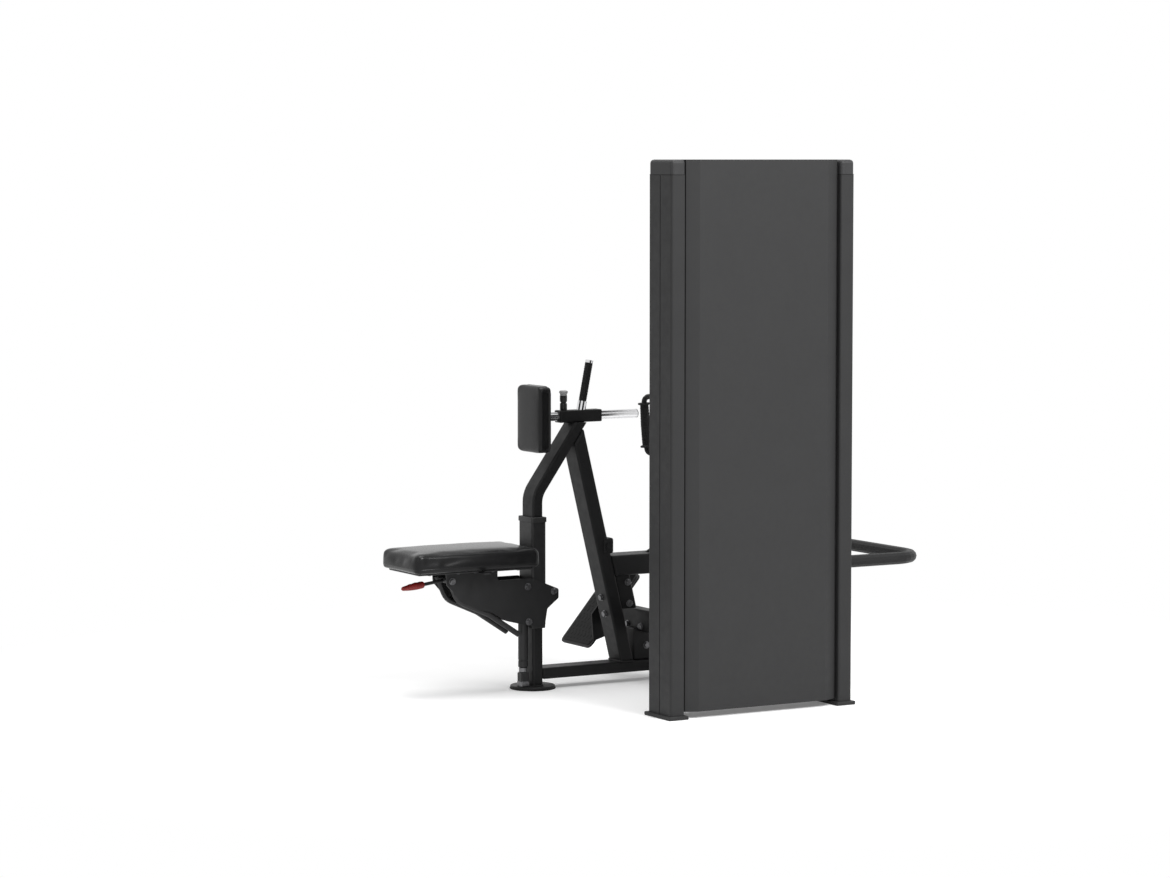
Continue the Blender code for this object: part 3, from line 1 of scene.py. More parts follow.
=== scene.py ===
"""The looks of the iso-lateral row machine: camera, light, finishes, sewn pads and fine fittings.

Metres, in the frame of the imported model: +Z up, +Y the way the user faces, +X the user's right.
"""
import math

import bmesh
import bpy
from mathutils import Matrix, Vector, noise
from mathutils.bvhtree import BVHTree


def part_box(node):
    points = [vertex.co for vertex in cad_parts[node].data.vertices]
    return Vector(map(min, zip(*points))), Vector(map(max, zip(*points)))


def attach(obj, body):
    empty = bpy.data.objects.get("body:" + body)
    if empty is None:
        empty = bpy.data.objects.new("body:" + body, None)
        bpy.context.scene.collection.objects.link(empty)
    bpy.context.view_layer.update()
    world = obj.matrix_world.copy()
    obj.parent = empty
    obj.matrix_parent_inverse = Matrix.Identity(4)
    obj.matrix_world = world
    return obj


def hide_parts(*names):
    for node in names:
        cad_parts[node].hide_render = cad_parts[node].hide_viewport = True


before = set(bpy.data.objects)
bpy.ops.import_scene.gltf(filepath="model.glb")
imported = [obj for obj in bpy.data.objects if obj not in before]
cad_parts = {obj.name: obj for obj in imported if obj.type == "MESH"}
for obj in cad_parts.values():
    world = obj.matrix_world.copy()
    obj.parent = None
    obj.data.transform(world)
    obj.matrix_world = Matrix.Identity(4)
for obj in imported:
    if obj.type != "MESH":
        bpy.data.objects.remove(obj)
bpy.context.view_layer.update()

# Camera, from the fit of the photograph
EYE = Vector((10.8357, -6.0256, 1.85))
VIEW_YAW = math.radians(60.072)
VIEW_DROP = math.radians(4.488)
SENSOR_WIDTH = 36.0
FOCAL_LENGTH = 109.57

# Stage
FLOOR_SIZE = 60.0
FLOOR_MIDDLE = (0.4, 0.4)
WHITE_FROM, WHITE_ALL = 1.2, 2.8
WORLD_LEVEL = 0.42
WHITE_GLOW = 0.16
FLOOR_LEVEL = 0.92
FLOOR_DROP = 0.0005
# Lamps: name, place, target, sides and power in watts
LAMPS = [("key", (5.5, 1.5, 5.0), (0.5, 0.4, 0.9), (3.0, 3.0), 420.0),
         ("fill", (3.0, -6.0, 3.0), (0.4, 0.3, 0.9), (3.0, 3.0), 22.0),
         ("top", (0.2, 0.2, 6.0), (0.2, 0.3, 0.0), (4.0, 4.0), 220.0)]

# Pads
VOXEL = 0.005
SIM_FRAMES = 20
PRESSURE = 4.0
SKIN_SMOOTHING = 9
# How far the skin stands past the solid at its low and high corners, then its plan corner, rim,
# cap of the swelling, crown and height of the seam over the board
SEAT_FORM = ((0.006, 0.004, 0.0), (0.006, 0.0, -0.009), 0.024, 0.014, 0.0040, 0.006, 0.016)
CHEST_FORM = ((0.002, 0.005, 0.0), (0.002, 0.0, 0.006), 0.018, 0.010, 0.0030, 0.003, 0.012)
SEAM_R = 0.0013
SEAM_SINK = 0.0005
STITCH_PITCH = 0.0065
STITCH_DROP = 0.0042
STITCH_SINK = 0.0004
SIDE_DRAW = (0.012, 0.008)
SKIN_STIFFNESS = 40
SKIN_BENDING = 20
SIM_QUALITY = 5
SKIN_MASS = 0.3

# Places on the frame, as the part's source has them
PLATE_FACE_X = 0.0533
PIN_PLACES = [(-0.048, 0.3665), (0.0565, 0.345), (-0.345, 0.402), (-0.044, 0.243)]
SPRING_CENTRE = (0.018, -0.048)
LEVER_AXIS = (0.0, -0.345, 0.402)
LEVER_END = (0.0, -0.515, 0.380)
LEVER_GRIP_L = 0.086
CHEST_AXIS_Z = 0.952
CHEST_MIDDLE_Z = 0.945
PIN_Y = 0.125
SLEEVE_TOP = 0.9735
BRACE_FOOT = (0.0, 0.196, 0.9738)
BRACE_LEAN = math.radians(11.2)
BRACE_L = 0.174
PIVOT = (0.706055, 1.63)
ARM_X = 0.25
CAM_X = 0.165
CAM_R = 0.080
CAM_HALF = 0.0100
HANDLE_TOP = (0.25, 0.602913, 0.990)
HANDLE_LOW = (0.25, 0.617087, 0.784)
SHAFT_END_X = 0.294
STOP_Z = 1.25
STOP_BACK_Y = 0.773355
REAR_Y = 1.10
BASE_MIDDLE_Z = 0.054
LOOP_X = 0.795
LOOP_START_Y = 0.7603
LOOP_Z = 0.48
PLATE_LOW = (0.348, 0.094)
PLATE_SLOPE = math.radians(49.5)
PLATE_X = (0.207, 0.420)
PLATE_L = 0.333
TOWER_INNER_X = 0.722
UPRIGHT_MIDDLES = (0.067, 0.733)
STACK_X = 0.805
STACK_Y = 0.400
CORNER_PULLEY = (0.767, 0.645)
TOP_PULLEY = (0.438, 1.732)
FRAME_BOLTS = [(0.0380, 0.3726, 0.2800), (0.0380, 0.3660, 0.3560), (0.0500, 0.5325, 0.4190),
               (0.0500, 0.5675, 0.4190), (0.0300, 0.4475, 0.12515)]
LEG_LEAN = math.radians(13.7)
LEG_FACE_BOLTS = [(0.0, 0.2797, 0.3034), (0.0, 0.2940, 0.2445)]
CROSSBAR_BOLTS = [(-0.046, 0.4150, 0.196), (0.046, 0.4150, 0.196)]
BEAD_STEP = 0.0017
BEAD_R = 0.0036
# Weld beads: middle, normal, half sizes and corner (a corner of 0 is a circle)
WELDS = [((0, 0, 0.0130), (0, 0, 1), 0.0405, 0.0205, 0.006),
         ((0, 0.3613, 0.0748), (0, 0, 1), 0.0455, 0.0262, 0.006),
         ((0, 1.10, 0.0748), (0, 0, 1), 0.0405, 0.0305, 0.006),
         ((0, 1.0695, 0.4190), (0, 1, 0), 0.0405, 0.0362, 0.006),
         ((0, 0.5500, 0.4560), (0, 0, 1), 0.0405, 0.0358, 0.006),
         ((0, 1.10, 0.0128), (0, 0, 1), 0.0305, 0, 0),
         ((0.0408, 0.54, 0.0540), (1, 0, 0), 0.0200, 0.0200, 0.006),
         ((0.7290, 0.54, 0.0540), (1, 0, 0), 0.0200, 0.0200, 0.006)]

# Fittings: sizes, counts and places
BOLT_SIZE = 0.0092
SHAFT_BOLT_SIZE = 0.0115
PLUG_H = 0.003
BUSHING_BORE = (0.0425, 0.0225)
RAIL_H = 0.0035
RAIL_MIDDLE = (0.0655, -0.262)
RAIL_SCREWS_X = 0.0675
RAIL_SCREWS_Y = (-0.33, -0.262, -0.195)
BOARD_SCREWS_X = 0.095
BOARD_SCREWS_Y = (-0.455, -0.110)
FLANGE_T = 0.005
BRACE_RINGS = 15
BRACE_RINGS_FROM = 0.040
BRACE_RING_PITCH = 0.0085
CAM_SCREWS = 3
CAM_SCREW_R = 0.048
CAM_SCREW_TURN = 0.6
GRIP_RINGS = 14
GRIP_RING_PITCH = 0.0095
TREAD_MARGIN = 0.010
LOZENGE_ROWS = 17
LOZENGE_COLUMNS = 8
LOZENGE_PITCH = (0.0225, 0.0175)
TOWER_SCREWS_Z = (0.060, 0.475, 0.890, 1.305, 1.720)
DIGIT_SIZE = 0.017
DIGIT_DEPTH = 0.00015
BLOCK_WEIGHT = 5
# Piece, node, count of blocks, number on the topmost one and body
NUMBERED_BLOCKS = [("resting_numbers", "stack_blocks_resting", 12, 30, "frame"),
                   ("lifted_numbers", "stack_blocks_lifted", 4, 10, "stack"),
                   ("top_number", "stack_top_block", 1, 5, "stack")]
SHARP_ANGLE = math.radians(35)
UP, DOWN = (0, 0, 1), (0, 0, -1)
RIGHT, LEFT = (1, 0, 0), (-1, 0, 0)
FORWARD, BACKWARD = (0, 1, 0), (0, -1, 0)

# Colours, linear
WHITE = (1.0, 1.0, 1.0, 1.0)
BLACK = (0.015, 0.015, 0.0155)
FRAME_BLACK = (0.010, 0.010, 0.0103)
CHARCOAL = (0.025, 0.025, 0.0255)
PANEL_GREY = (0.027, 0.027, 0.0275)
CAP_GREY = (0.030, 0.030, 0.031)
VINYL = (0.0085, 0.0085, 0.0088)
RUBBER = (0.009, 0.009, 0.009)
RED = (0.22, 0.012, 0.010)
CHROME = (0.72, 0.72, 0.73)
STEEL = (0.48, 0.48, 0.49)
ALUMINIUM = (0.55, 0.55, 0.56)
IRON = (0.020, 0.020, 0.021)
ZINC = (0.17, 0.17, 0.175)
THREAD = (0.030, 0.030, 0.030)
KNOB_GREY = (0.36, 0.36, 0.36)
NYLON = (0.016, 0.016, 0.016)
WHITE_PRINT = (0.70, 0.70, 0.70)


# Node helpers for materials

def new_material(name):
    """An empty Principled material: its tree and its shader."""
    material = bpy.data.materials.new(name)
    material.use_nodes = True
    tree = material.node_tree
    return material, tree, tree.nodes["Principled BSDF"]


def coordinates(tree, scale=(1.0, 1.0, 1.0)):
    """Object coordinates, stretched by scale."""
    source = tree.nodes.new("ShaderNodeTexCoord")
    mapping = tree.nodes.new("ShaderNodeMapping")
    mapping.inputs["Scale"].default_value = scale
    tree.links.new(source.outputs["Object"], mapping.inputs["Vector"])
    return mapping.outputs["Vector"]


def noise_field(tree, vector, scale, detail=4.0, rough=0.55):
    """A noise value from 0 to 1."""
    field = tree.nodes.new("ShaderNodeTexNoise")
    field.inputs["Scale"].default_value = scale
    field.inputs["Detail"].default_value = detail
    field.inputs["Roughness"].default_value = rough
    tree.links.new(vector, field.inputs["Vector"])
    return field.outputs["Fac"]


def cells(tree, vector, scale):
    """The distance field of scattered cells."""
    field = tree.nodes.new("ShaderNodeTexVoronoi")
    field.feature = "F1"
    field.inputs["Scale"].default_value = scale
    tree.links.new(vector, field.inputs["Vector"])
    return field.outputs["Distance"]


def spread(tree, value, low, high, start=0.3, end=0.7):
    """The value mapped from start..end to low..high."""
    span = tree.nodes.new("ShaderNodeMapRange")
    span.inputs["From Min"].default_value = start
    span.inputs["From Max"].default_value = end
    span.inputs["To Min"].default_value = low
    span.inputs["To Max"].default_value = high
    tree.links.new(value, span.inputs["Value"])
    return span.outputs["Result"]


def mixed_colour(tree, value, first, second):
    """A colour between two, by value."""
    mix = tree.nodes.new("ShaderNodeMix")
    mix.data_type = "RGBA"
    tree.links.new(value, mix.inputs["Factor"])
    mix.inputs[6].default_value = (*first, 1.0)
    mix.inputs[7].default_value = (*second, 1.0)
    return mix.outputs[2]


def bump(tree, height, strength, distance, normal=None):
    """A bump from a height value, on top of another where given."""
    node = tree.nodes.new("ShaderNodeBump")
    node.inputs["Strength"].default_value = strength
    node.inputs["Distance"].default_value = distance
    tree.links.new(height, node.inputs["Height"])
    if normal is not None:
        tree.links.new(normal, node.inputs["Normal"])
    return node.outputs["Normal"]


def feed(tree, socket, term):
    """Sets a socket to a number, or links an output to it."""
    if isinstance(term, float):
        socket.default_value = term
    else:
        tree.links.new(term, socket)


def combined(tree, operation, first, second, clamp=False):
    """A sum or product of two terms, each an output or a number."""
    node = tree.nodes.new("ShaderNodeMath")
    node.operation = operation
    node.use_clamp = clamp
    feed(tree, node.inputs[0], first)
    feed(tree, node.inputs[1], second)
    return node.outputs[0]


def seen_by(tree, *rays):
    """1 for the named kinds of ray, 0 for all others."""
    path = tree.nodes.new("ShaderNodeLightPath")
    seen = path.outputs[rays[0]]
    for ray in rays[1:]:
        seen = combined(tree, "ADD", seen, path.outputs[ray], True)
    return seen


def shade(colour, factor):
    """The colour made lighter or darker."""
    return tuple(min(1.0, part * factor) for part in colour)


def patchy(tree, value, colour, dark, light, start=0.3, end=0.7):
    """A colour that varies between two of its shades, by a noise value."""
    blend = spread(tree, value, 0.0, 1.0, start, end)
    return mixed_colour(tree, blend, shade(colour, dark), shade(colour, light))


def surface(tree, shader, colour, roughness, normal, specular=0.5):
    """Links colour, roughness and normal to the shader and sets its specular level."""
    tree.links.new(colour, shader.inputs["Base Color"])
    tree.links.new(roughness, shader.inputs["Roughness"])
    tree.links.new(normal, shader.inputs["Normal"])
    shader.inputs["Specular IOR Level"].default_value = specular


# Materials

def powder_coat(name, colour, rough=0.5, grain=1400.0, depth=0.00012, specular=0.35, cloud=0.12):
    """Powder coat: fine orange peel, faint mottling and worn-looking patches of gloss."""
    material, tree, shader = new_material(name)
    vector = coordinates(tree)
    mottle = noise_field(tree, vector, 9.0, 5.0)
    peel = noise_field(tree, vector, grain, 2.0)
    patches = noise_field(tree, vector, 38.0, 3.0)
    surface(tree, shader, patchy(tree, mottle, colour, 1 - cloud, 1 + cloud),
            spread(tree, patches, rough - 0.05, rough + 0.06), bump(tree, peel, 0.5, depth),
            specular)
    return material


def vinyl(name):
    """Black upholstery vinyl: pebbled grain, fine creases and a soft sheen."""
    material, tree, shader = new_material(name)
    vector = coordinates(tree)
    pebble = cells(tree, vector, 620.0)
    crease = noise_field(tree, vector, 120.0, 6.0, 0.65)
    rub = noise_field(tree, vector, 14.0, 4.0)
    folds = bump(tree, crease, 0.06, 0.0002)
    surface(tree, shader, patchy(tree, rub, VINYL, 0.85, 1.25), spread(tree, crease, 0.20, 0.28),
            bump(tree, pebble, 0.12, 0.00012, folds), 0.17)
    shader.inputs["Sheen Weight"].default_value = 0.04
    return material


def rubber(name, colour=RUBBER, pitch=0.0, rough=0.75):
    """Moulded rubber with a matte bloom; pitch adds fine rings across Z, in metres."""
    material, tree, shader = new_material(name)
    vector = coordinates(tree)
    bloom = noise_field(tree, vector, 26.0, 5.0)
    grain = noise_field(tree, vector, 900.0, 2.0)
    normal = bump(tree, grain, 0.4, 0.0002)
    if pitch:
        rings = tree.nodes.new("ShaderNodeTexWave")
        rings.bands_direction = "Z"
        rings.inputs["Scale"].default_value = math.pi / (10.0 * pitch)
        tree.links.new(vector, rings.inputs["Vector"])
        normal = bump(tree, rings.outputs["Fac"], 0.6, 0.0006, normal)
    surface(tree, shader, patchy(tree, bloom, colour, 0.85, 1.35),
            spread(tree, bloom, rough - 0.06, rough + 0.08), normal, 0.25)
    return material


def metal(name, colour, rough, stretch=(1.0, 1.0, 1.0), grain=400.0):
    """Bare metal: fine lines along the stretched direction and slight stains."""
    material, tree, shader = new_material(name)
    lines = noise_field(tree, coordinates(tree, stretch), grain, 3.0)
    stains = noise_field(tree, coordinates(tree), 20.0, 4.0)
    surface(tree, shader, patchy(tree, stains, colour, 0.88, 1.0),
            spread(tree, lines, rough - 0.04, rough + 0.05), bump(tree, lines, 0.3, 0.00004))
    shader.inputs["Metallic"].default_value = 1.0
    return material


def plastic(name, colour, rough=0.42, specular=0.4):
    """Moulded plastic: spark-eroded grain and a slight change of gloss."""
    material, tree, shader = new_material(name)
    vector = coordinates(tree)
    grain = noise_field(tree, vector, 1100.0, 2.0)
    sweep = noise_field(tree, vector, 30.0, 3.0)
    surface(tree, shader, patchy(tree, sweep, colour, 0.88, 1.10),
            spread(tree, sweep, rough - 0.04, rough + 0.05), bump(tree, grain, 0.4, 0.00012),
            specular)
    return material


def cast_iron(name):
    """Painted cast plates: a coarse skin with rubbed patches."""
    material, tree, shader = new_material(name)
    vector = coordinates(tree)
    skin = noise_field(tree, vector, 260.0, 5.0, 0.6)
    rubbed = noise_field(tree, vector, 16.0, 6.0, 0.7)
    surface(tree, shader, patchy(tree, rubbed, IRON, 1.0, 2.2, 0.55, 0.75),
            spread(tree, rubbed, 0.62, 0.44), bump(tree, skin, 0.5, 0.0005), 0.35)
    return material


def coated_cable(name):
    """Plastic-coated wire rope: its strands show faintly through the coat."""
    material, tree, shader = new_material(name)
    strands = tree.nodes.new("ShaderNodeTexWave")
    strands.bands_direction = "DIAGONAL"
    strands.inputs["Scale"].default_value = 140.0
    tree.links.new(coordinates(tree), strands.inputs["Vector"])
    dust = noise_field(tree, coordinates(tree), 60.0, 3.0)
    surface(tree, shader, patchy(tree, dust, NYLON, 1.0, 1.6), spread(tree, dust, 0.40, 0.52),
            bump(tree, strands.outputs["Fac"], 0.35, 0.0003))
    return material


FINISHES = {
    "frame": powder_coat("frame_coat", FRAME_BLACK, 0.48, specular=0.20),
    "carriage": powder_coat("carriage_coat", BLACK, 0.44, specular=0.32),
    "panel": powder_coat("panel_coat", PANEL_GREY, 0.58, 1700.0, 0.00010, 0.22, 0.03),
    "upright": powder_coat("upright_coat", CHARCOAL, 0.55, 1500.0, 0.00010, 0.20, 0.05),
    "cap": plastic("cap_plastic", CAP_GREY, 0.55, 0.25),
    "vinyl": vinyl("pad_vinyl"),
    "rubber": rubber("bumper_rubber"),
    "soft_rubber": rubber("soft_rubber", shade(RUBBER, 1.3), rough=0.82),
    "zinc": metal("zinc_plate", ZINC, 0.34, grain=900.0),
    "thread": plastic("sewing_thread", THREAD, 0.7, 0.2),
    "knob": plastic("knob_grey", KNOB_GREY, 0.40),
    "print": plastic("number_print", WHITE_PRINT, 0.55),
    "grip": rubber("grip_rubber", pitch=0.006),
    "chrome": metal("chrome_tube", CHROME, 0.14, (1.0, 0.02, 1.0)),
    "rods": metal("rod_steel", CHROME, 0.18, (1.0, 1.0, 0.02)),
    "steel": metal("bolt_steel", STEEL, 0.32),
    "aluminium": metal("cam_aluminium", ALUMINIUM, 0.38),
    "red": plastic("lever_red", RED, 0.45),
    "nylon": plastic("black_nylon", NYLON, 0.48),
    "iron": cast_iron("plate_iron"),
    "cable": coated_cable("cable_coat"),
}

NODE_FINISH = {
    "frame": ["front_foot", "front_post", "rear_leg", "base_tube", "rear_foot", "rear_post",
              "main_beam", "mast", "cross_tube", "brace_loop", "footrest_crossbar",
              "footplate_left", "footplate_right", "pad_sleeve", "chest_board", "arm_stop_bar",
              "arm_left", "arm_right", "tower_base", "pulley_hanger", "cable_housing"],
    "carriage": ["carriage_sleeve", "side_plate_left", "side_plate_right", "gas_cylinder",
                 "seat_board", "seat_lever"],
    "upright": ["tower_upright_front", "tower_upright_rear"],
    "panel": ["outer_panel"],
    "cap": ["tower_cap"],
    "vinyl": ["seat_pad", "chest_pad"],
    "grip": ["brace_grip", "row_grip_left", "row_grip_right"],
    "chrome": ["chest_tube", "brace_grip_collar", "brace_grip_cap"],
    "rods": ["gas_rod", "guide_rod_front", "guide_rod_rear", "selector_stem"],
    "steel": ["spring_pin", "rear_pin", "lever_pin", "arm_shaft"],
    "aluminium": ["cam_left", "cam_right"],
    "red": ["lever_grip", "selector_pin"],
    "nylon": ["pop_pin", "corner_pulley", "top_pulley"],
    "iron": ["stack_blocks_resting", "stack_blocks_lifted", "stack_top_block"],
    "cable": ["main_cable", "arm_cable_left", "arm_cable_right"],
}


def dress_nodes():
    """Gives every carried-over node its finish."""
    for finish, names in NODE_FINISH.items():
        for name in names:
            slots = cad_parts[name].data.materials
            slots.clear()
            slots.append(FINISHES[finish])


# Pieces

def placed(name, data):
    """A new object in the scene."""
    item = bpy.data.objects.new(name, data)
    bpy.context.scene.collection.objects.link(item)
    return item


def piece(name, mesh, finish, body):
    """A new visible piece that rides on a body."""
    mesh.name = name
    mesh.shade_smooth()
    mesh.set_sharp_from_angle(angle=SHARP_ANGLE)
    mesh.materials.clear()
    mesh.materials.append(FINISHES[finish])
    item = placed(name, mesh)
    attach(item, body)
    return item


def evaluated(item):
    """The object's mesh with its modifiers applied."""
    bpy.context.view_layer.update()
    graph = bpy.context.evaluated_depsgraph_get()
    return bpy.data.meshes.new_from_object(item.evaluated_get(graph))


def rounded_slab(low, high, plan_corner, edge):
    """A slab between two corners, rounded in plan (across its thinnest axis) and along its rims."""
    size = high - low
    thin = min(range(3), key=lambda i: size[i])
    u, v = [i for i in range(3) if i != thin]
    curve = bpy.data.curves.new("plan", "CURVE")
    curve.dimensions = "2D"
    curve.fill_mode = "BOTH"
    curve.extrude = size[thin] / 2
    spline = curve.splines.new("POLY")
    outline = slab_ring(size[u] / 2, size[v] / 2, plan_corner, 0, 6)
    spline.points.add(len(outline) - 1)
    for point, place in zip(spline.points, outline):
        point.co = (*place, 1)
    spline.use_cyclic_u = True
    item = placed("scratch", curve)
    mesh = evaluated(item)
    bpy.data.objects.remove(item)
    work = bmesh.new()
    work.from_mesh(mesh)
    bmesh.ops.remove_doubles(work, verts=work.verts, dist=0.00001)
    bmesh.ops.dissolve_limit(work, angle_limit=0.01, verts=work.verts, edges=work.edges)
    work.to_mesh(mesh)
    work.free()
    item = placed("scratch", mesh)
    rim = item.modifiers.new("rim", "BEVEL")
    rim.width = edge
    rim.segments = 4
    rim.limit_method = "ANGLE"
    rim.angle_limit = math.radians(60)
    remesh = item.modifiers.new("even", "REMESH")
    remesh.mode = "VOXEL"
    remesh.voxel_size = VOXEL
    result = evaluated(item)
    bpy.data.objects.remove(item)
    middle = (low + high) / 2
    for vert in result.vertices:
        place = Vector(middle)
        place[u] += vert.co.x
        place[v] += vert.co.y
        place[thin] += vert.co.z
        vert.co = place
    return result


def inflate(mesh, fixed, limit):
    """Swells a closed skin with Cloth pressure; fixed(co) says how firmly a point is held."""
    item = placed("scratch", mesh)
    rest = [Vector(vert.co) for vert in mesh.vertices]
    held = item.vertex_groups.new(name="held")
    for vert in mesh.vertices:
        held.add([vert.index], fixed(vert.co), "REPLACE")
    cloth = item.modifiers.new("cloth", "CLOTH")
    settings = cloth.settings
    settings.quality = SIM_QUALITY
    settings.mass = SKIN_MASS
    settings.tension_stiffness = SKIN_STIFFNESS
    settings.compression_stiffness = SKIN_STIFFNESS
    settings.bending_stiffness = SKIN_BENDING
    settings.use_pressure = True
    settings.uniform_pressure_force = PRESSURE
    settings.vertex_group_mass = "held"
    settings.effector_weights.gravity = 0
    cloth.point_cache.frame_start = 1
    cloth.point_cache.frame_end = SIM_FRAMES
    for step in range(1, SIM_FRAMES + 1):
        bpy.context.scene.frame_set(step)
    swollen = evaluated(item)
    moved = [Vector(vert.co) for vert in swollen.vertices]
    bpy.data.objects.remove(item)
    bpy.context.scene.frame_set(1)
    for vert, before, after in zip(swollen.vertices, rest, moved):
        shift = after - before
        if shift.length > limit:
            shift *= limit / shift.length
        vert.co = before + shift
    return swollen


def crowned(mesh, low, high, thin, back, crown):
    """Draws the pad's face down towards its rims and its sides in between their corners."""
    middle, half = (low + high) / 2, (high - low) / 2
    u, v = [i for i in range(3) if i != thin]
    for vert in mesh.vertices:
        a = (vert.co[u] - middle[u]) / half[u]
        b = (vert.co[v] - middle[v]) / half[v]
        rise = 0.5 - 0.5 * back * (vert.co[thin] - middle[thin]) / half[thin]
        vert.co[thin] += back * crown * rise * min(1.0, (a * a) ** 1.5 + (b * b) ** 1.5)
        vert.co[u] -= a * half[u] * SIDE_DRAW[0] * max(0.0, 1 - b * b)
        vert.co[v] -= b * half[v] * SIDE_DRAW[1] * max(0.0, 1 - a * a)


def smoothed(mesh, held, times):
    """Evens the skin out, apart from the points that held picks."""
    work = bmesh.new()
    work.from_mesh(mesh)
    free = [vert for vert in work.verts if not held(vert.co)]
    for _ in range(times):
        bmesh.ops.smooth_vert(work, verts=free, factor=0.5, use_axis_x=True, use_axis_y=True,
                              use_axis_z=True)
    work.to_mesh(mesh)
    work.free()


def seam_line(skin, outline, centre, axis, level):
    """Points and outward ways on the skin, where it crosses a level all round."""
    points, ways = [], []
    for point in outline:
        way = Vector(point) - centre
        way[axis] = 0
        way.normalize()
        origin = Vector(point) + way * 0.05
        origin[axis] = level
        hit, normal, _, _ = skin.ray_cast(origin, -way)
        if hit is None:
            hit, normal = Vector(point), way
        points.append(hit)
        ways.append(normal)
    count = len(points)
    even = [sum((points[(i + k) % count] for k in range(-2, 3)), Vector()) / 5
            for i in range(count)]
    return even, ways


def sewn_seam(name, mesh, low, high, thin, back, corner, rise, body):
    """Piping round the pad's side and a row of stitches beside it."""
    skin = BVHTree.FromPolygons([vert.co for vert in mesh.vertices],
                                [face.vertices for face in mesh.polygons])
    centre = (low + high) / 2
    u, v = [i for i in range(3) if i != thin]
    half = (high - low) / 2
    outline = []
    for x, y, _ in slab_ring(half[u], half[v], corner, 0):
        point = Vector(centre)
        point[u] += x
        point[v] += y
        outline.append(point)
    outline = walk(outline, STITCH_PITCH / 2)
    base = high[thin] if back > 0 else low[thin]
    axis = Vector([0.0, 0.0, 0.0])
    axis[thin] = 1.0
    line, ways = seam_line(skin, outline, centre, thin, base - back * rise)
    rings = [[spot - way * SEAM_SINK for spot in bead_ring(point, way, axis, SEAM_R)]
             for point, way in zip(line, ways)]
    parts = [(loft(rings, closed=True), at(0, 0, 0))]
    line, ways = seam_line(skin, outline, centre, thin, base - back * (rise + STITCH_DROP))
    thread = loft([diamond(-0.0018, 0.0004, 0),
                   [(-0.0014, 0, 0.0005), (0, 0.0003, 0.0007),
                    (0.0014, 0, 0.0005), (0, -0.0003, 0.0007)]])
    stitches = []
    for i in range(0, len(line) - 1, 2):
        along = (line[(i + 1) % len(line)] - line[i - 1]).normalized()
        out = (ways[i] - along * ways[i].dot(along)).normalized()
        side = out.cross(along)
        place = Matrix((along, side, out)).transposed().to_4x4()
        place.translation = line[i] - out * STITCH_SINK
        stitches.append((thread, place))
    gather(name + "_piping", parts, "vinyl", body)
    gather(name + "_stitches", stitches, "thread", body)


def sewn_pad(name, node, body, back, form):
    """A pad on its board: crowned and swollen skin, flat back, piping and stitches."""
    grow_low, grow_high, corner, edge, limit, crown, rise = form
    low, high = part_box(node)
    low, high = low - Vector(grow_low), high + Vector(grow_high)
    size = high - low
    thin = min(range(3), key=lambda i: size[i])
    mesh = rounded_slab(low, high, corner, edge)
    crowned(mesh, low, high, thin, back, crown)
    seat = high[thin] if back > 0 else low[thin]

    def on_board(place):
        return abs(place[thin] - seat) < VOXEL * 1.2

    mesh = inflate(mesh, lambda place: 1.0 if on_board(place) else 0.0, limit)
    smoothed(mesh, on_board, SKIN_SMOOTHING)
    for vert in mesh.vertices:
        if back > 0:
            vert.co[thin] = min(high[thin], vert.co[thin])
        else:
            vert.co[thin] = max(low[thin], vert.co[thin])
    sewn_seam(name, mesh, low, high, thin, back, corner, rise, body)
    item = piece(name, mesh, "vinyl", body)
    item.data.set_sharp_from_angle(angle=math.radians(180))
    fine = item.modifiers.new("fine", "SUBSURF")
    fine.levels = 1
    fine.render_levels = 1
    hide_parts(node)


def make_pads():
    """The seat pad and the chest pad."""
    sewn_pad("seat_cushion", "seat_pad", "carriage", -1, SEAT_FORM)
    sewn_pad("chest_cushion", "chest_pad", "chest", 1, CHEST_FORM)


# Shapes for fittings

def mesh_of(work):
    """The finished mesh of a bmesh."""
    bmesh.ops.recalc_face_normals(work, faces=work.faces)
    mesh = bpy.data.meshes.new("shape")
    work.to_mesh(mesh)
    work.free()
    return mesh


def loft(rings, closed=False):
    """A skin through rings of points: closed in a loop, or else capped at both ends."""
    work = bmesh.new()
    rows = [[work.verts.new(point) for point in ring] for ring in rings]
    pairs = list(zip(rows, rows[1:]))
    if closed:
        pairs.append((rows[-1], rows[0]))
    for a, b in pairs:
        for i in range(len(a)):
            j = (i + 1) % len(a)
            work.faces.new((a[i], a[j], b[j], b[i]))
    if not closed:
        work.faces.new(list(reversed(rows[0])))
        work.faces.new(rows[-1])
    return mesh_of(work)


def round_ring(radius, z, steps=24):
    """A circle of points at a height."""
    return [(radius * math.cos(2 * math.pi * i / steps),
             radius * math.sin(2 * math.pi * i / steps), z) for i in range(steps)]


def diamond(half_u, half_v, z):
    """A lozenge of points at a height."""
    return [(half_u, 0, z), (0, half_v, z), (-half_u, 0, z), (0, -half_v, z)]


def hex_ring(across, z):
    """A hexagon of points at a height, by half its width across the flats."""
    sector = math.pi / 3
    points = []
    for i in range(24):
        angle = 2 * math.pi * i / 24
        radius = across / math.cos(angle % sector - sector / 2)
        points.append((radius * math.cos(angle), radius * math.sin(angle), z))
    return points


def slab_ring(half_u, half_v, corner, z, steps=5):
    """A rounded rectangle of points at a height."""
    points = []
    for turn, (su, sv) in enumerate(((1, 1), (-1, 1), (-1, -1), (1, -1))):
        for i in range(steps + 1):
            angle = math.pi / 2 * (turn + i / steps)
            points.append((su * (half_u - corner) + corner * math.cos(angle),
                           sv * (half_v - corner) + corner * math.sin(angle), z))
    return points


def turned(profile, steps=24, closed=False):
    """A turned shape from pairs of radius and height."""
    return loft([round_ring(radius, z, steps) for radius, z in profile], closed)


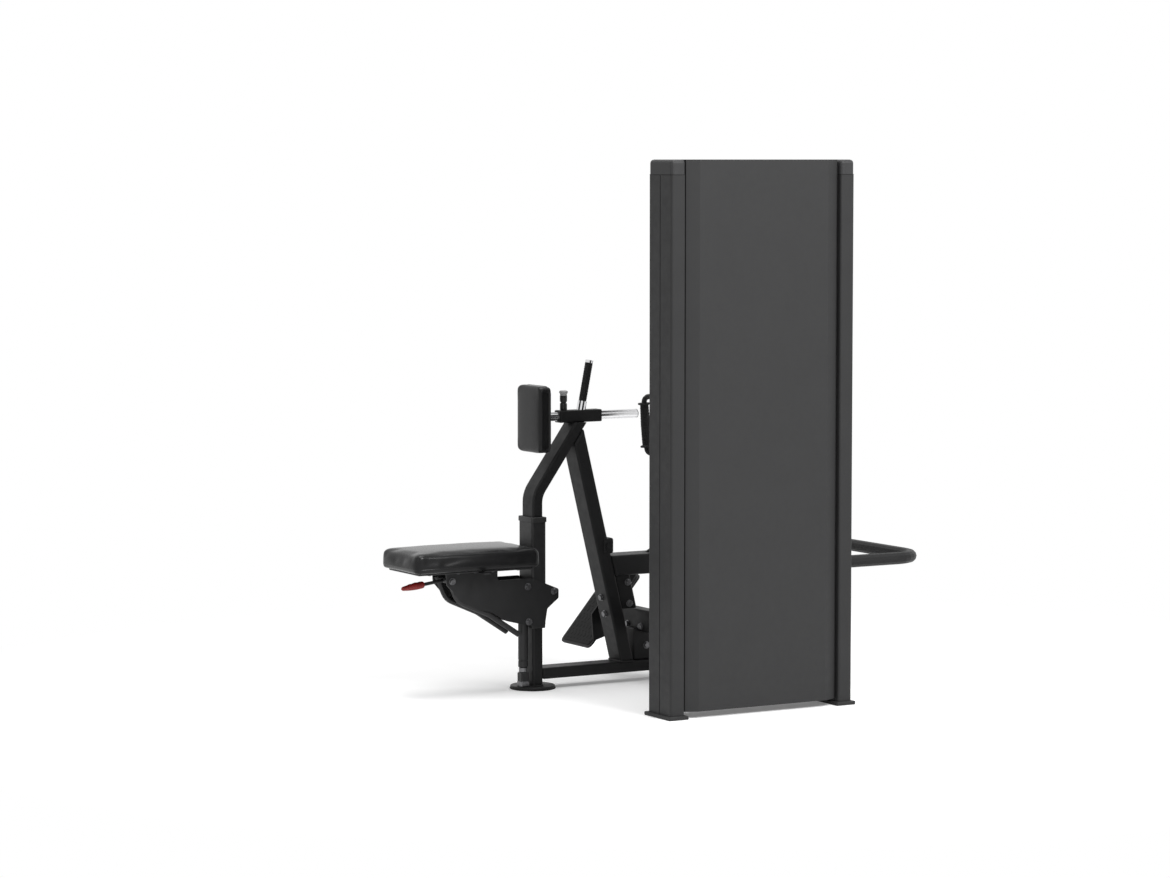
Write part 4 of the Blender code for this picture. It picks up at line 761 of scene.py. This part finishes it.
def bead_ring(point, out, up, radius):
    """Six points round a point, in the plane of two ways."""
    return [point + (out * math.cos(a) + up * math.sin(a)) * radius
            for a in (math.pi * k / 3 for k in range(6))]


def at(*place):
    """The placement at a point, not turned."""
    return Matrix.Translation(place)


def facing(place, normal, spin=0.0):
    """The placement that stands a shape's Z on a point along a normal."""
    turn = Vector((0, 0, 1)).rotation_difference(Vector(normal)).to_matrix().to_4x4()
    return Matrix.Translation(place) @ turn @ Matrix.Rotation(spin, 4, "Z")


def hex_bolt(size):
    """A hexagon head on its washer; size is half its width across the flats."""
    washer = 0.2 * size
    top = washer + 0.8 * size
    return loft([round_ring(1.38 * size, 0), round_ring(1.38 * size, 0.8 * washer),
                 round_ring(1.33 * size, washer), round_ring(1.20 * size, washer),
                 hex_ring(size, washer + 0.0001), hex_ring(size, top - 0.14 * size),
                 round_ring(0.93 * size, top), round_ring(0.60 * size, top),
                 round_ring(0.56 * size, top - 0.05 * size)])


def button_bolt(size):
    """A domed screw head with a hexagon socket; size is its radius."""
    return loft([round_ring(1.15 * size, 0), round_ring(1.15 * size, 0.08 * size),
                 round_ring(size, 0.10 * size), round_ring(size, 0.20 * size),
                 round_ring(0.88 * size, 0.42 * size), round_ring(0.66 * size, 0.54 * size),
                 hex_ring(0.46 * size, 0.56 * size), hex_ring(0.44 * size, 0.16 * size)])


def nut(size, bore):
    """A hexagon nut with a round bore."""
    top = 0.8 * size
    return loft([round_ring(bore, 0), hex_ring(0.96 * size, 0), hex_ring(size, 0.06 * size),
                 hex_ring(size, top - 0.1 * size), round_ring(0.93 * size, top),
                 round_ring(1.15 * bore, top), round_ring(bore, top - 0.1 * bore)], closed=True)


def washer_ring(inner, outer, height, steps, soft=0.0006):
    """A flat ring with soft edges."""
    return turned([(inner, 0), (outer - soft, 0), (outer, soft), (outer, height - soft),
                   (outer - soft, height), (inner + soft, height), (inner, height - soft)],
                  steps, closed=True)


def plug(half_u, half_v, corner):
    """A moulded end plug with a domed face."""
    rings = [slab_ring(half_u - inset * PLUG_H, half_v - inset * PLUG_H, corner, rise * PLUG_H)
             for inset, rise in ((0.0, 0.0), (0.0, 0.45), (0.3, 0.8), (0.9, 1.0))]
    rings.append(slab_ring(half_u * 0.55, half_v * 0.55, corner * 0.55, 1.12 * PLUG_H))
    return loft(rings)


def collar_box(outer, inner, corner, low, high, soft=0.0015):
    """A rectangular ring with soft edges, on the Z axis."""
    (ou, ov), (iu, iv) = outer, inner
    return loft([slab_ring(iu, iv, corner, low), slab_ring(ou - soft, ov - soft, corner, low),
                 slab_ring(ou, ov, corner, low + soft), slab_ring(ou, ov, corner, high - soft),
                 slab_ring(ou - soft, ov - soft, corner, high), slab_ring(iu, iv, corner, high)],
                closed=True)


def walk(ring, spacing):
    """A closed outline of points taken again at an even spacing."""
    points = [Vector(point) for point in ring]
    spans = [(b - a).length for a, b in zip(points, points[1:] + points[:1])]
    total = sum(spans)
    count = max(12, round(total / spacing))
    result, i, done = [], 0, 0.0
    for step in range(count):
        want = total * step / count
        while done + spans[i] < want:
            done += spans[i]
            i += 1
        t = (want - done) / spans[i]
        result.append(points[i].lerp(points[(i + 1) % len(points)], t))
    return result


def weld(ring, radius, seed):
    """A scalloped weld bead along a flat closed outline."""
    path = walk(ring, BEAD_STEP)
    up = Vector((0, 0, 1))
    rings = []
    for i, point in enumerate(path):
        ahead = (path[(i + 1) % len(path)] - path[i - 1]).normalized()
        out = ahead.cross(up)
        ripple = 0.86 + 0.14 * abs(math.sin(math.pi * i / 3))
        size = radius * (ripple + 0.10 * noise.noise(Vector((i * 0.11, seed, 0.0))))
        rings.append(bead_ring(point, out, up, size))
    return loft(rings, closed=True)


def gather(name, parts, finish, body):
    """One piece from several placed shapes."""
    work = bmesh.new()
    for shape, place in parts:
        copy = shape.copy()
        copy.transform(place)
        work.from_mesh(copy)
        bpy.data.meshes.remove(copy)
    return piece(name, mesh_of(work), finish, body)


def both_sides(parts):
    """The placed shapes and their mirror images across the centre plane."""
    flip = Matrix.Scale(-1, 4, (1, 0, 0))
    return parts + [(shape, flip @ place) for shape, place in parts]


# Fittings

def carriage_fittings():
    """Bolts, bushings, seat rails and the gas spring's rings."""
    head = hex_bolt(BOLT_SIZE)
    parts = [(head, facing((PLATE_FACE_X, y, z), RIGHT, 0.3 + y)) for y, z in PIN_PLACES]
    gather("carriage_bolts", both_sides(parts), "zinc", "carriage")
    low, top = (corner.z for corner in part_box("carriage_sleeve"))
    upper = collar_box((0.0505, 0.0305), BUSHING_BORE, 0.006, top - 0.013, top + 0.005)
    lower = collar_box((0.0470, 0.0270), BUSHING_BORE, 0.005, low - 0.008, low + 0.004)
    gather("carriage_bushings", [(upper, at(0, 0, 0)), (lower, at(0, 0, 0))], "nylon", "carriage")
    board_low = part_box("seat_board")[0].z
    rail = loft([slab_ring(0.012, 0.095, 0.004, 0), slab_ring(0.012, 0.095, 0.004, 0.003),
                 slab_ring(0.011, 0.094, 0.003, RAIL_H)])
    gather("seat_rails", both_sides([(rail, facing((*RAIL_MIDDLE, board_low), DOWN))]),
           "carriage", "carriage")
    screw = button_bolt(0.0065)
    parts = [(screw, facing((RAIL_SCREWS_X, y, board_low - RAIL_H), DOWN)) for y in RAIL_SCREWS_Y]
    parts += [(screw, facing((BOARD_SCREWS_X, y, board_low), DOWN)) for y in BOARD_SCREWS_Y]
    gather("seat_screws", both_sides(parts), "zinc", "carriage")
    x, y = SPRING_CENTRE
    ring = washer_ring(0.0082, 0.0148, 0.016, 24, 0.0012)
    socket = collar_box((0.0168, 0.0168), (0.0150, 0.0150), 0.004, 0.0124, 0.030)
    gather("spring_rings", [(ring, at(x, y, 0.0630)), (socket, at(x, y, 0))], "zinc", "frame")
    wiper = washer_ring(0.0068, 0.0186, 0.010, 24, 0.0015)
    gather("spring_wiper", [(wiper, at(x, y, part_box("gas_cylinder")[1].z - 0.006))],
           "nylon", "frame")


def lever_radius(t):
    """The red grip's radius along its length: a collar, a belly, a taper and a round end."""
    if t < 0.06:
        return 0.0100 + 0.0022 * math.sin(math.pi * t / 0.12)
    if t < 0.34:
        return 0.0122 + 0.0006 * math.sin(math.pi * (t - 0.06) / 0.56)
    if t < 0.90:
        return 0.0128 - 0.0054 * ((t - 0.34) / 0.56) ** 1.6
    return 0.0074 * math.sqrt(max(0.04, 1 - ((t - 0.90) / 0.102) ** 2))


def lever_handle():
    """The red grip with finger waves on one side, and the washers of the lever's pivot."""
    along = (Vector(LEVER_END) - Vector(LEVER_AXIS)).normalized()
    rings = []
    for i in range(37):
        t = i / 36
        radius = lever_radius(t)
        wave = 0.0006 * math.cos(2 * math.pi * 4 * t) if 0.12 < t < 0.80 else 0.0
        rings.append([(x * radius * 0.94, y * radius - wave * max(0.0, y), t * LEVER_GRIP_L)
                      for x, y, _ in round_ring(1.0, 0, 20)])
    place = facing(Vector(LEVER_END) - along * LEVER_GRIP_L, along)
    handle = gather("lever_handle", [(loft(rings), place)], "red", "lever")
    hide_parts("lever_grip")
    hub = washer_ring(0.0056, 0.0098, 0.0025, 20)
    gather("lever_washers", both_sides([(hub, facing((0.0202, *LEVER_AXIS[1:]), RIGHT))]),
           "zinc", "lever")


def chest_fittings():
    """The flange behind the chest board, its screws and the tube's plug."""
    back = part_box("chest_board")[1].y
    z = CHEST_AXIS_Z
    flange = loft([slab_ring(0.034, 0.034, 0.006, 0), slab_ring(0.034, 0.034, 0.006, 0.0040),
                   slab_ring(0.033, 0.033, 0.005, FLANGE_T)])
    collar = washer_ring(0.0163, 0.0235, 0.0080, 28, 0.0015)
    bead = weld(round_ring(0.0245, 0, 40), 0.0022, 3.1)
    gather("chest_flange", [(flange, facing((0, back, z), FORWARD)),
                            (collar, facing((0, back + FLANGE_T, z), FORWARD)),
                            (bead, facing((0, back + 0.0052, z), FORWARD))], "frame", "chest")
    screw, small = button_bolt(0.0068), button_bolt(0.0050)
    parts = [(screw, facing((0.048, back, CHEST_MIDDLE_Z + rise), FORWARD))
             for rise in (0.075, -0.075)]
    parts += [(small, facing((0.026, back + FLANGE_T, z + rise), FORWARD))
              for rise in (-0.026, 0.026)]
    gather("chest_screws", both_sides(parts), "zinc", "chest")
    dome = turned([(0.0158, 0), (0.0158, 0.0020), (0.0140, 0.0034), (0.0080, 0.0042)])
    gather("chest_tube_plug", [(dome, facing((0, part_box("chest_tube")[1].y, z), FORWARD))],
           "nylon", "chest")


def pop_pin_fittings():
    """The pop-pin's fluted barrel and grey cap, and the housing that stays on the sleeve."""
    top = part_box("pop_pin")[1].z
    rings = [round_ring(0.0110, top - 0.0364, 48)]
    for height, flute in ((-0.034, 0.4), (-0.030, 1.0), (-0.018, 1.0), (-0.015, 0.3)):
        ring = []
        for i, (x, y, _) in enumerate(round_ring(1.0, 0, 48)):
            size = 0.0128 - 0.0005 * flute * (1 - math.cos(2 * math.pi * i / 4)) / 2
            ring.append((x * size, y * size, top + height))
        rings.append(ring)
    gather("pop_barrel", [(loft(rings), at(0, PIN_Y, 0))], "nylon", "pop_pin")
    cap = turned([(0.0122, -0.0150), (0.0124, -0.0100), (0.0136, -0.0075), (0.0152, -0.0050),
                  (0.0155, -0.0020), (0.0145, 0.0010), (0.0110, 0.0028), (0.0050, 0.0034)], 32)
    gather("pop_cap", [(cap, at(0, PIN_Y, top))], "knob", "pop_pin")
    boss = turned([(0.0092, 0.0010), (0.0122, 0.0010), (0.0126, 0.0020), (0.0126, 0.0215),
                   (0.0118, 0.0245), (0.0092, 0.0245)], 32, closed=True)
    gather("pop_housing", [(boss, at(0, PIN_Y, SLEEVE_TOP))], "nylon", "frame")


def brace_fittings():
    """Rings along the brace grip and a finer end on it."""
    lean = facing(BRACE_FOOT, (0, math.sin(BRACE_LEAN), math.cos(BRACE_LEAN)))
    ring = washer_ring(0.0134, 0.0143, 0.0022, 24, 0.0007)
    rings = [(ring, lean @ at(0, 0, BRACE_RINGS_FROM + BRACE_RING_PITCH * i))
             for i in range(BRACE_RINGS)]
    gather("brace_rings", rings, "soft_rubber", "frame")
    dome = turned([(0.0142, 0), (0.0142, 0.0010), (0.0120, 0.0026), (0.0060, 0.0032)])
    gather("brace_dome", [(dome, lean @ at(0, 0, BRACE_L))], "chrome", "frame")


def arm_fittings():
    """End plugs, cam screws and rings on the row grips, for both arms."""
    y, z = PIVOT
    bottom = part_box("arm_right")[0].z
    bottom_plug = plug(0.0192, 0.0242, 0.005)
    screw = button_bolt(0.0055)
    top, low = Vector(HANDLE_TOP), Vector(HANDLE_LOW)
    along = (top - low).normalized()
    middle = (GRIP_RINGS - 1) / 2
    for side, body in ((-1, "left_arm"), (1, "right_arm")):
        name = body.split("_")[0]
        gather(name + "_arm_plug", [(bottom_plug, facing((side * ARM_X, y, bottom), DOWN))],
               "nylon", body)
        parts = []
        for i in range(CAM_SCREWS):
            angle = 2 * math.pi * i / CAM_SCREWS + CAM_SCREW_TURN
            for face in (-1, 1):
                place = (side * CAM_X + face * CAM_HALF, y + CAM_SCREW_R * math.cos(angle),
                         z + CAM_SCREW_R * math.sin(angle))
                parts.append((screw, facing(place, (face, 0, 0))))
        gather(name + "_cam_screws", parts, "zinc", body)
        rings = []
        for i in range(GRIP_RINGS):
            place = low.lerp(top, 0.5) + along * (i - middle) * GRIP_RING_PITCH
            place.x = side * ARM_X
            bulge = 0.0018 * (1 - abs(i - middle) / 7.5)
            ring = washer_ring(0.0155, 0.0162 + bulge, 0.0034, 24, 0.0010)
            rings.append((ring, facing(place - along * 0.0017, along)))
        gather(name + "_grip_rings", rings, "soft_rubber", body)


def frame_bolts():
    """Bolt heads on the frame's sides, the shaft's ends, the stop bar, the leg and the crossbar."""
    head = hex_bolt(BOLT_SIZE)
    parts = [(head, facing(place, RIGHT, 0.4)) for place in FRAME_BOLTS]
    parts.append((hex_bolt(SHAFT_BOLT_SIZE), facing((SHAFT_END_X, *PIVOT), RIGHT)))
    parts.append((head, facing((0.020, STOP_BACK_Y, STOP_Z), FORWARD)))
    parts = both_sides(parts)
    way = (0, -math.cos(LEG_LEAN), -math.sin(LEG_LEAN))
    parts += [(head, facing(place, way)) for place in LEG_FACE_BOLTS]
    parts += [(head, facing(place, BACKWARD)) for place in CROSSBAR_BOLTS]
    gather("frame_bolts", parts, "zinc", "frame")


def end_plugs():
    """Plugs in the ends of the frame's tubes and on the side of the cable housing."""
    bar_low, bar_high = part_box("arm_stop_bar")
    low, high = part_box("cable_housing")
    bar_y = STOP_BACK_Y - 0.015
    bar_plug = plug(0.0190, 0.0140, 0.004)
    tube_end = (0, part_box("base_tube")[1].y, BASE_MIDDLE_Z)
    housing_side = (low.x, (low.y + high.y) / 2, (low.z + high.z) / 2)
    gather("end_plugs", [
        (plug(0.0390, 0.0290, 0.006), facing((0, REAR_Y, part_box("rear_post")[1].z), UP)),
        (plug(0.0390, 0.0190, 0.006), facing(tube_end, FORWARD)),
        (bar_plug, facing((bar_high.x, bar_y, STOP_Z), RIGHT)),
        (bar_plug, facing((bar_low.x, bar_y, STOP_Z), LEFT)),
        (plug(0.0345, 0.0770, 0.006), facing(housing_side, LEFT))], "nylon", "frame")


def frame_fittings():
    """Bolts, plugs, weld beads, foot rings, cable ends and loop collars of the frame."""
    frame_bolts()
    end_plugs()
    beads = []
    for i, (place, normal, half_u, half_v, corner) in enumerate(WELDS):
        ring = slab_ring(half_u, half_v, corner, 0) if corner else round_ring(half_u, 0, 40)
        beads.append((weld(ring, BEAD_R, 1.7 * i), facing(place, normal)))
    gather("weld_beads", beads, "frame", "frame")
    ring = turned([(0.0780, 0.0002), (0.0802, 0.0002), (0.0808, 0.0012), (0.0808, 0.0040),
                   (0.0798, 0.0050), (0.0780, 0.0050)], 48, closed=True)
    gather("foot_rings", [(ring, at(0, 0, 0)), (ring, at(0, REAR_Y, 0))], "rubber", "frame")
    cable_y = PIVOT[0] + CAM_R
    sleeve = washer_ring(0.0029, 0.0056, 0.024, 20, 0.0010)
    gather("cable_sleeves", both_sides([(sleeve, at(CAM_X, cable_y, PIVOT[1] + 0.004))]),
           "zinc", "frame")
    grommet = washer_ring(0.0034, 0.0110, 0.0050, 24, 0.0015)
    place = facing((CAM_X, cable_y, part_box("cable_housing")[0].z), DOWN)
    gather("cable_grommets", both_sides([(grommet, place)]), "soft_rubber", "frame")
    collar = turned([(0.0300, 0), (0.0300, 0.0035), (0.0285, 0.0050), (0.0220, 0.0050),
                     (0.0220, 0)], 32, closed=True)
    gather("loop_collars", [(collar, facing((LOOP_X, LOOP_START_Y, LOOP_Z), FORWARD)),
                            (collar, facing((0.0402, REAR_Y, LOOP_Z), RIGHT))], "frame", "frame")


def foot_treads():
    """Rubber treads with raised lozenges on the user's side of both footplates."""
    plate = at(0, *PLATE_LOW) @ Matrix.Rotation(PLATE_SLOPE, 4, "X")
    middle = ((PLATE_X[0] + PLATE_X[1]) / 2, PLATE_L / 2)
    half_u = (PLATE_X[1] - PLATE_X[0]) / 2 - TREAD_MARGIN
    half_v = PLATE_L / 2 - TREAD_MARGIN
    mat = loft([slab_ring(half_u, half_v, 0.014, 0.0), slab_ring(half_u, half_v, 0.014, 0.0014),
                slab_ring(half_u - 0.0008, half_v - 0.0008, 0.013, 0.0022)])
    parts = [(mat, plate @ at(*middle, 0))]
    lozenge = loft([diamond(0.0098, 0.0052, 0), diamond(0.0080, 0.0040, 0.0014)])
    for row in range(LOZENGE_ROWS):
        odd = row % 2
        turn = Matrix.Rotation(math.radians(90 * odd), 4, "Z")
        for column in range(LOZENGE_COLUMNS):
            u = (column - 3.5 + 0.5 * odd) * LOZENGE_PITCH[0] - 0.0055
            v = (row - 8) * LOZENGE_PITCH[1]
            parts.append((lozenge, plate @ at(middle[0] + u, middle[1] + v, 0.0021) @ turn))
    gather("foot_treads", both_sides(parts), "soft_rubber", "frame")


def tower_fittings():
    """Dark rings at the cap seam as painted shade of its gap, screws on the inner faces, pulley
    nuts and the cable's end.
    """
    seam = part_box("tower_upright_front")[1].z
    # Painted shade: a thin dark rubber ring stands in for the shadow in the gap where the cap meets
    # each upright
    seam_shade_ring = collar_box((0.0734, 0.0274), (0.0700, 0.0240), 0.0084, seam - 0.0012,
                        seam + 0.0014, 0.0003)
    gather("cap_seam_shade_rings", [(seam_shade_ring, at(LOOP_X, y, 0)) for y in UPRIGHT_MIDDLES],
           "rubber", "frame")
    screw = button_bolt(0.0080)
    parts = [(screw, facing((TOWER_INNER_X, y, z), LEFT)) for y in UPRIGHT_MIDDLES
             for z in TOWER_SCREWS_Z]
    gather("tower_screws", parts, "zinc", "frame")
    places = [at(*CORNER_PULLEY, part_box("pulley_hanger")[1].z)]
    places += [facing((STACK_X + side * 0.020, *TOP_PULLEY), (side, 0, 0)) for side in (-1, 1)]
    shapes = (nut(0.0100, 0.0050), button_bolt(0.0048))
    parts = [(shape, place) for place in places for shape in shapes]
    gather("pulley_nuts", parts, "zinc", "frame")
    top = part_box("selector_stem")[1].z
    crimp = washer_ring(0.0033, 0.0062, 0.030, 20, 0.0015)
    gather("cable_end", [(nut(0.0150, 0.0033), at(STACK_X, STACK_Y, top)),
                         (crimp, at(STACK_X, STACK_Y, top + 0.010))], "zinc", "stack")


def block_numbers():
    """Plain numbers on the blocks' user side."""
    turn = Matrix(((0, 0, -1, 0), (-1, 0, 0, 0), (0, 1, 0, 0), (0, 0, 0, 1)))
    for name, node, count, first, body in NUMBERED_BLOCKS:
        low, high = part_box(node)
        pitch = (high.z - low.z) / count
        parts = []
        for i in range(count):
            curve = bpy.data.curves.new("digits", "FONT")
            curve.body = str(first + BLOCK_WEIGHT * (count - 1 - i))
            curve.size = DIGIT_SIZE
            curve.extrude = DIGIT_DEPTH
            curve.align_x = "CENTER"
            curve.align_y = "CENTER"
            item = placed("scratch", curve)
            digits = evaluated(item)
            bpy.data.objects.remove(item)
            place = at(low.x, STACK_Y + 0.045, low.z + (i + 0.5) * pitch)
            parts.append((digits, place @ turn))
        gather(name, parts, "print", body)


# Stage, lights and camera

def make_camera():
    """The camera of the photograph."""
    data = bpy.data.cameras.new("camera")
    data.sensor_width = SENSOR_WIDTH
    data.lens = FOCAL_LENGTH
    data.clip_end = 200.0
    item = placed("camera", data)
    item.location = EYE
    item.rotation_euler = (math.pi / 2 - VIEW_DROP, 0.0, VIEW_YAW)
    bpy.context.scene.camera = item


def glow(tree, strength):
    """A white emission, its strength an output or a number."""
    node = tree.nodes.new("ShaderNodeEmission")
    node.inputs["Color"].default_value = WHITE
    feed(tree, node.inputs["Strength"], strength)
    return node.outputs[0]


def make_floor():
    """A pale floor that shows white to the camera and keeps the object's soft shadow."""
    material, tree, shader = new_material("floor_white")
    shader.inputs["Base Color"].default_value = (FLOOR_LEVEL, FLOOR_LEVEL, FLOOR_LEVEL, 1.0)
    shader.inputs["Roughness"].default_value = 0.9
    shader.inputs["Specular IOR Level"].default_value = 0.0
    seen = seen_by(tree, "Is Camera Ray", "Is Glossy Ray")
    both = tree.nodes.new("ShaderNodeAddShader")
    tree.links.new(shader.outputs[0], both.inputs[0])
    tree.links.new(glow(tree, combined(tree, "MULTIPLY", seen, WHITE_GLOW)), both.inputs[1])
    away = tree.nodes.new("ShaderNodeVectorMath")
    away.operation = "DISTANCE"
    away.inputs[1].default_value = (*FLOOR_MIDDLE, 0.0)
    tree.links.new(coordinates(tree), away.inputs[0])
    mask = spread(tree, away.outputs["Value"], 0.0, 1.0, WHITE_FROM, WHITE_ALL)
    mix = tree.nodes.new("ShaderNodeMixShader")
    tree.links.new(combined(tree, "MULTIPLY", mask, seen), mix.inputs["Fac"])
    tree.links.new(both.outputs[0], mix.inputs[1])
    tree.links.new(glow(tree, 1.0), mix.inputs[2])
    tree.links.new(mix.outputs[0], tree.nodes["Material Output"].inputs["Surface"])
    mesh = bpy.data.meshes.new("floor")
    work = bmesh.new()
    bmesh.ops.create_grid(work, x_segments=1, y_segments=1, size=FLOOR_SIZE / 2)
    work.to_mesh(mesh)
    work.free()
    mesh.materials.append(material)
    item = placed("floor", mesh)
    item.location = (0, 0, -FLOOR_DROP)


def make_world():
    """White where it is seen or reflected, a plain level as light."""
    world = bpy.data.worlds.new("studio")
    bpy.context.scene.world = world
    world.use_nodes = True
    tree = world.node_tree
    ground = tree.nodes["Background"]
    ground.inputs["Color"].default_value = WHITE
    seen = seen_by(tree, "Is Camera Ray", "Is Glossy Ray", "Is Transmission Ray")
    tree.links.new(spread(tree, seen, WORLD_LEVEL, 1.0, 0.0, 1.0), ground.inputs["Strength"])


def make_lights():
    """Soft square lamps: a key from the camera's right, a fill from its left, a top lamp."""
    for name, place, target, size, power in LAMPS:
        data = bpy.data.lights.new(name, "AREA")
        data.shape = "RECTANGLE"
        data.size, data.size_y = size
        data.energy = power
        item = placed(name, data)
        item.location = place
        aim = Vector(target) - Vector(place)
        item.rotation_euler = aim.to_track_quat("-Z", "Y").to_euler()


def main():
    """Builds the picture."""
    bpy.context.scene.view_settings.view_transform = "Standard"
    make_camera()
    make_floor()
    make_world()
    make_lights()
    dress_nodes()
    make_pads()
    carriage_fittings()
    lever_handle()
    chest_fittings()
    pop_pin_fittings()
    brace_fittings()
    arm_fittings()
    frame_fittings()
    foot_treads()
    tower_fittings()
    block_numbers()


main()
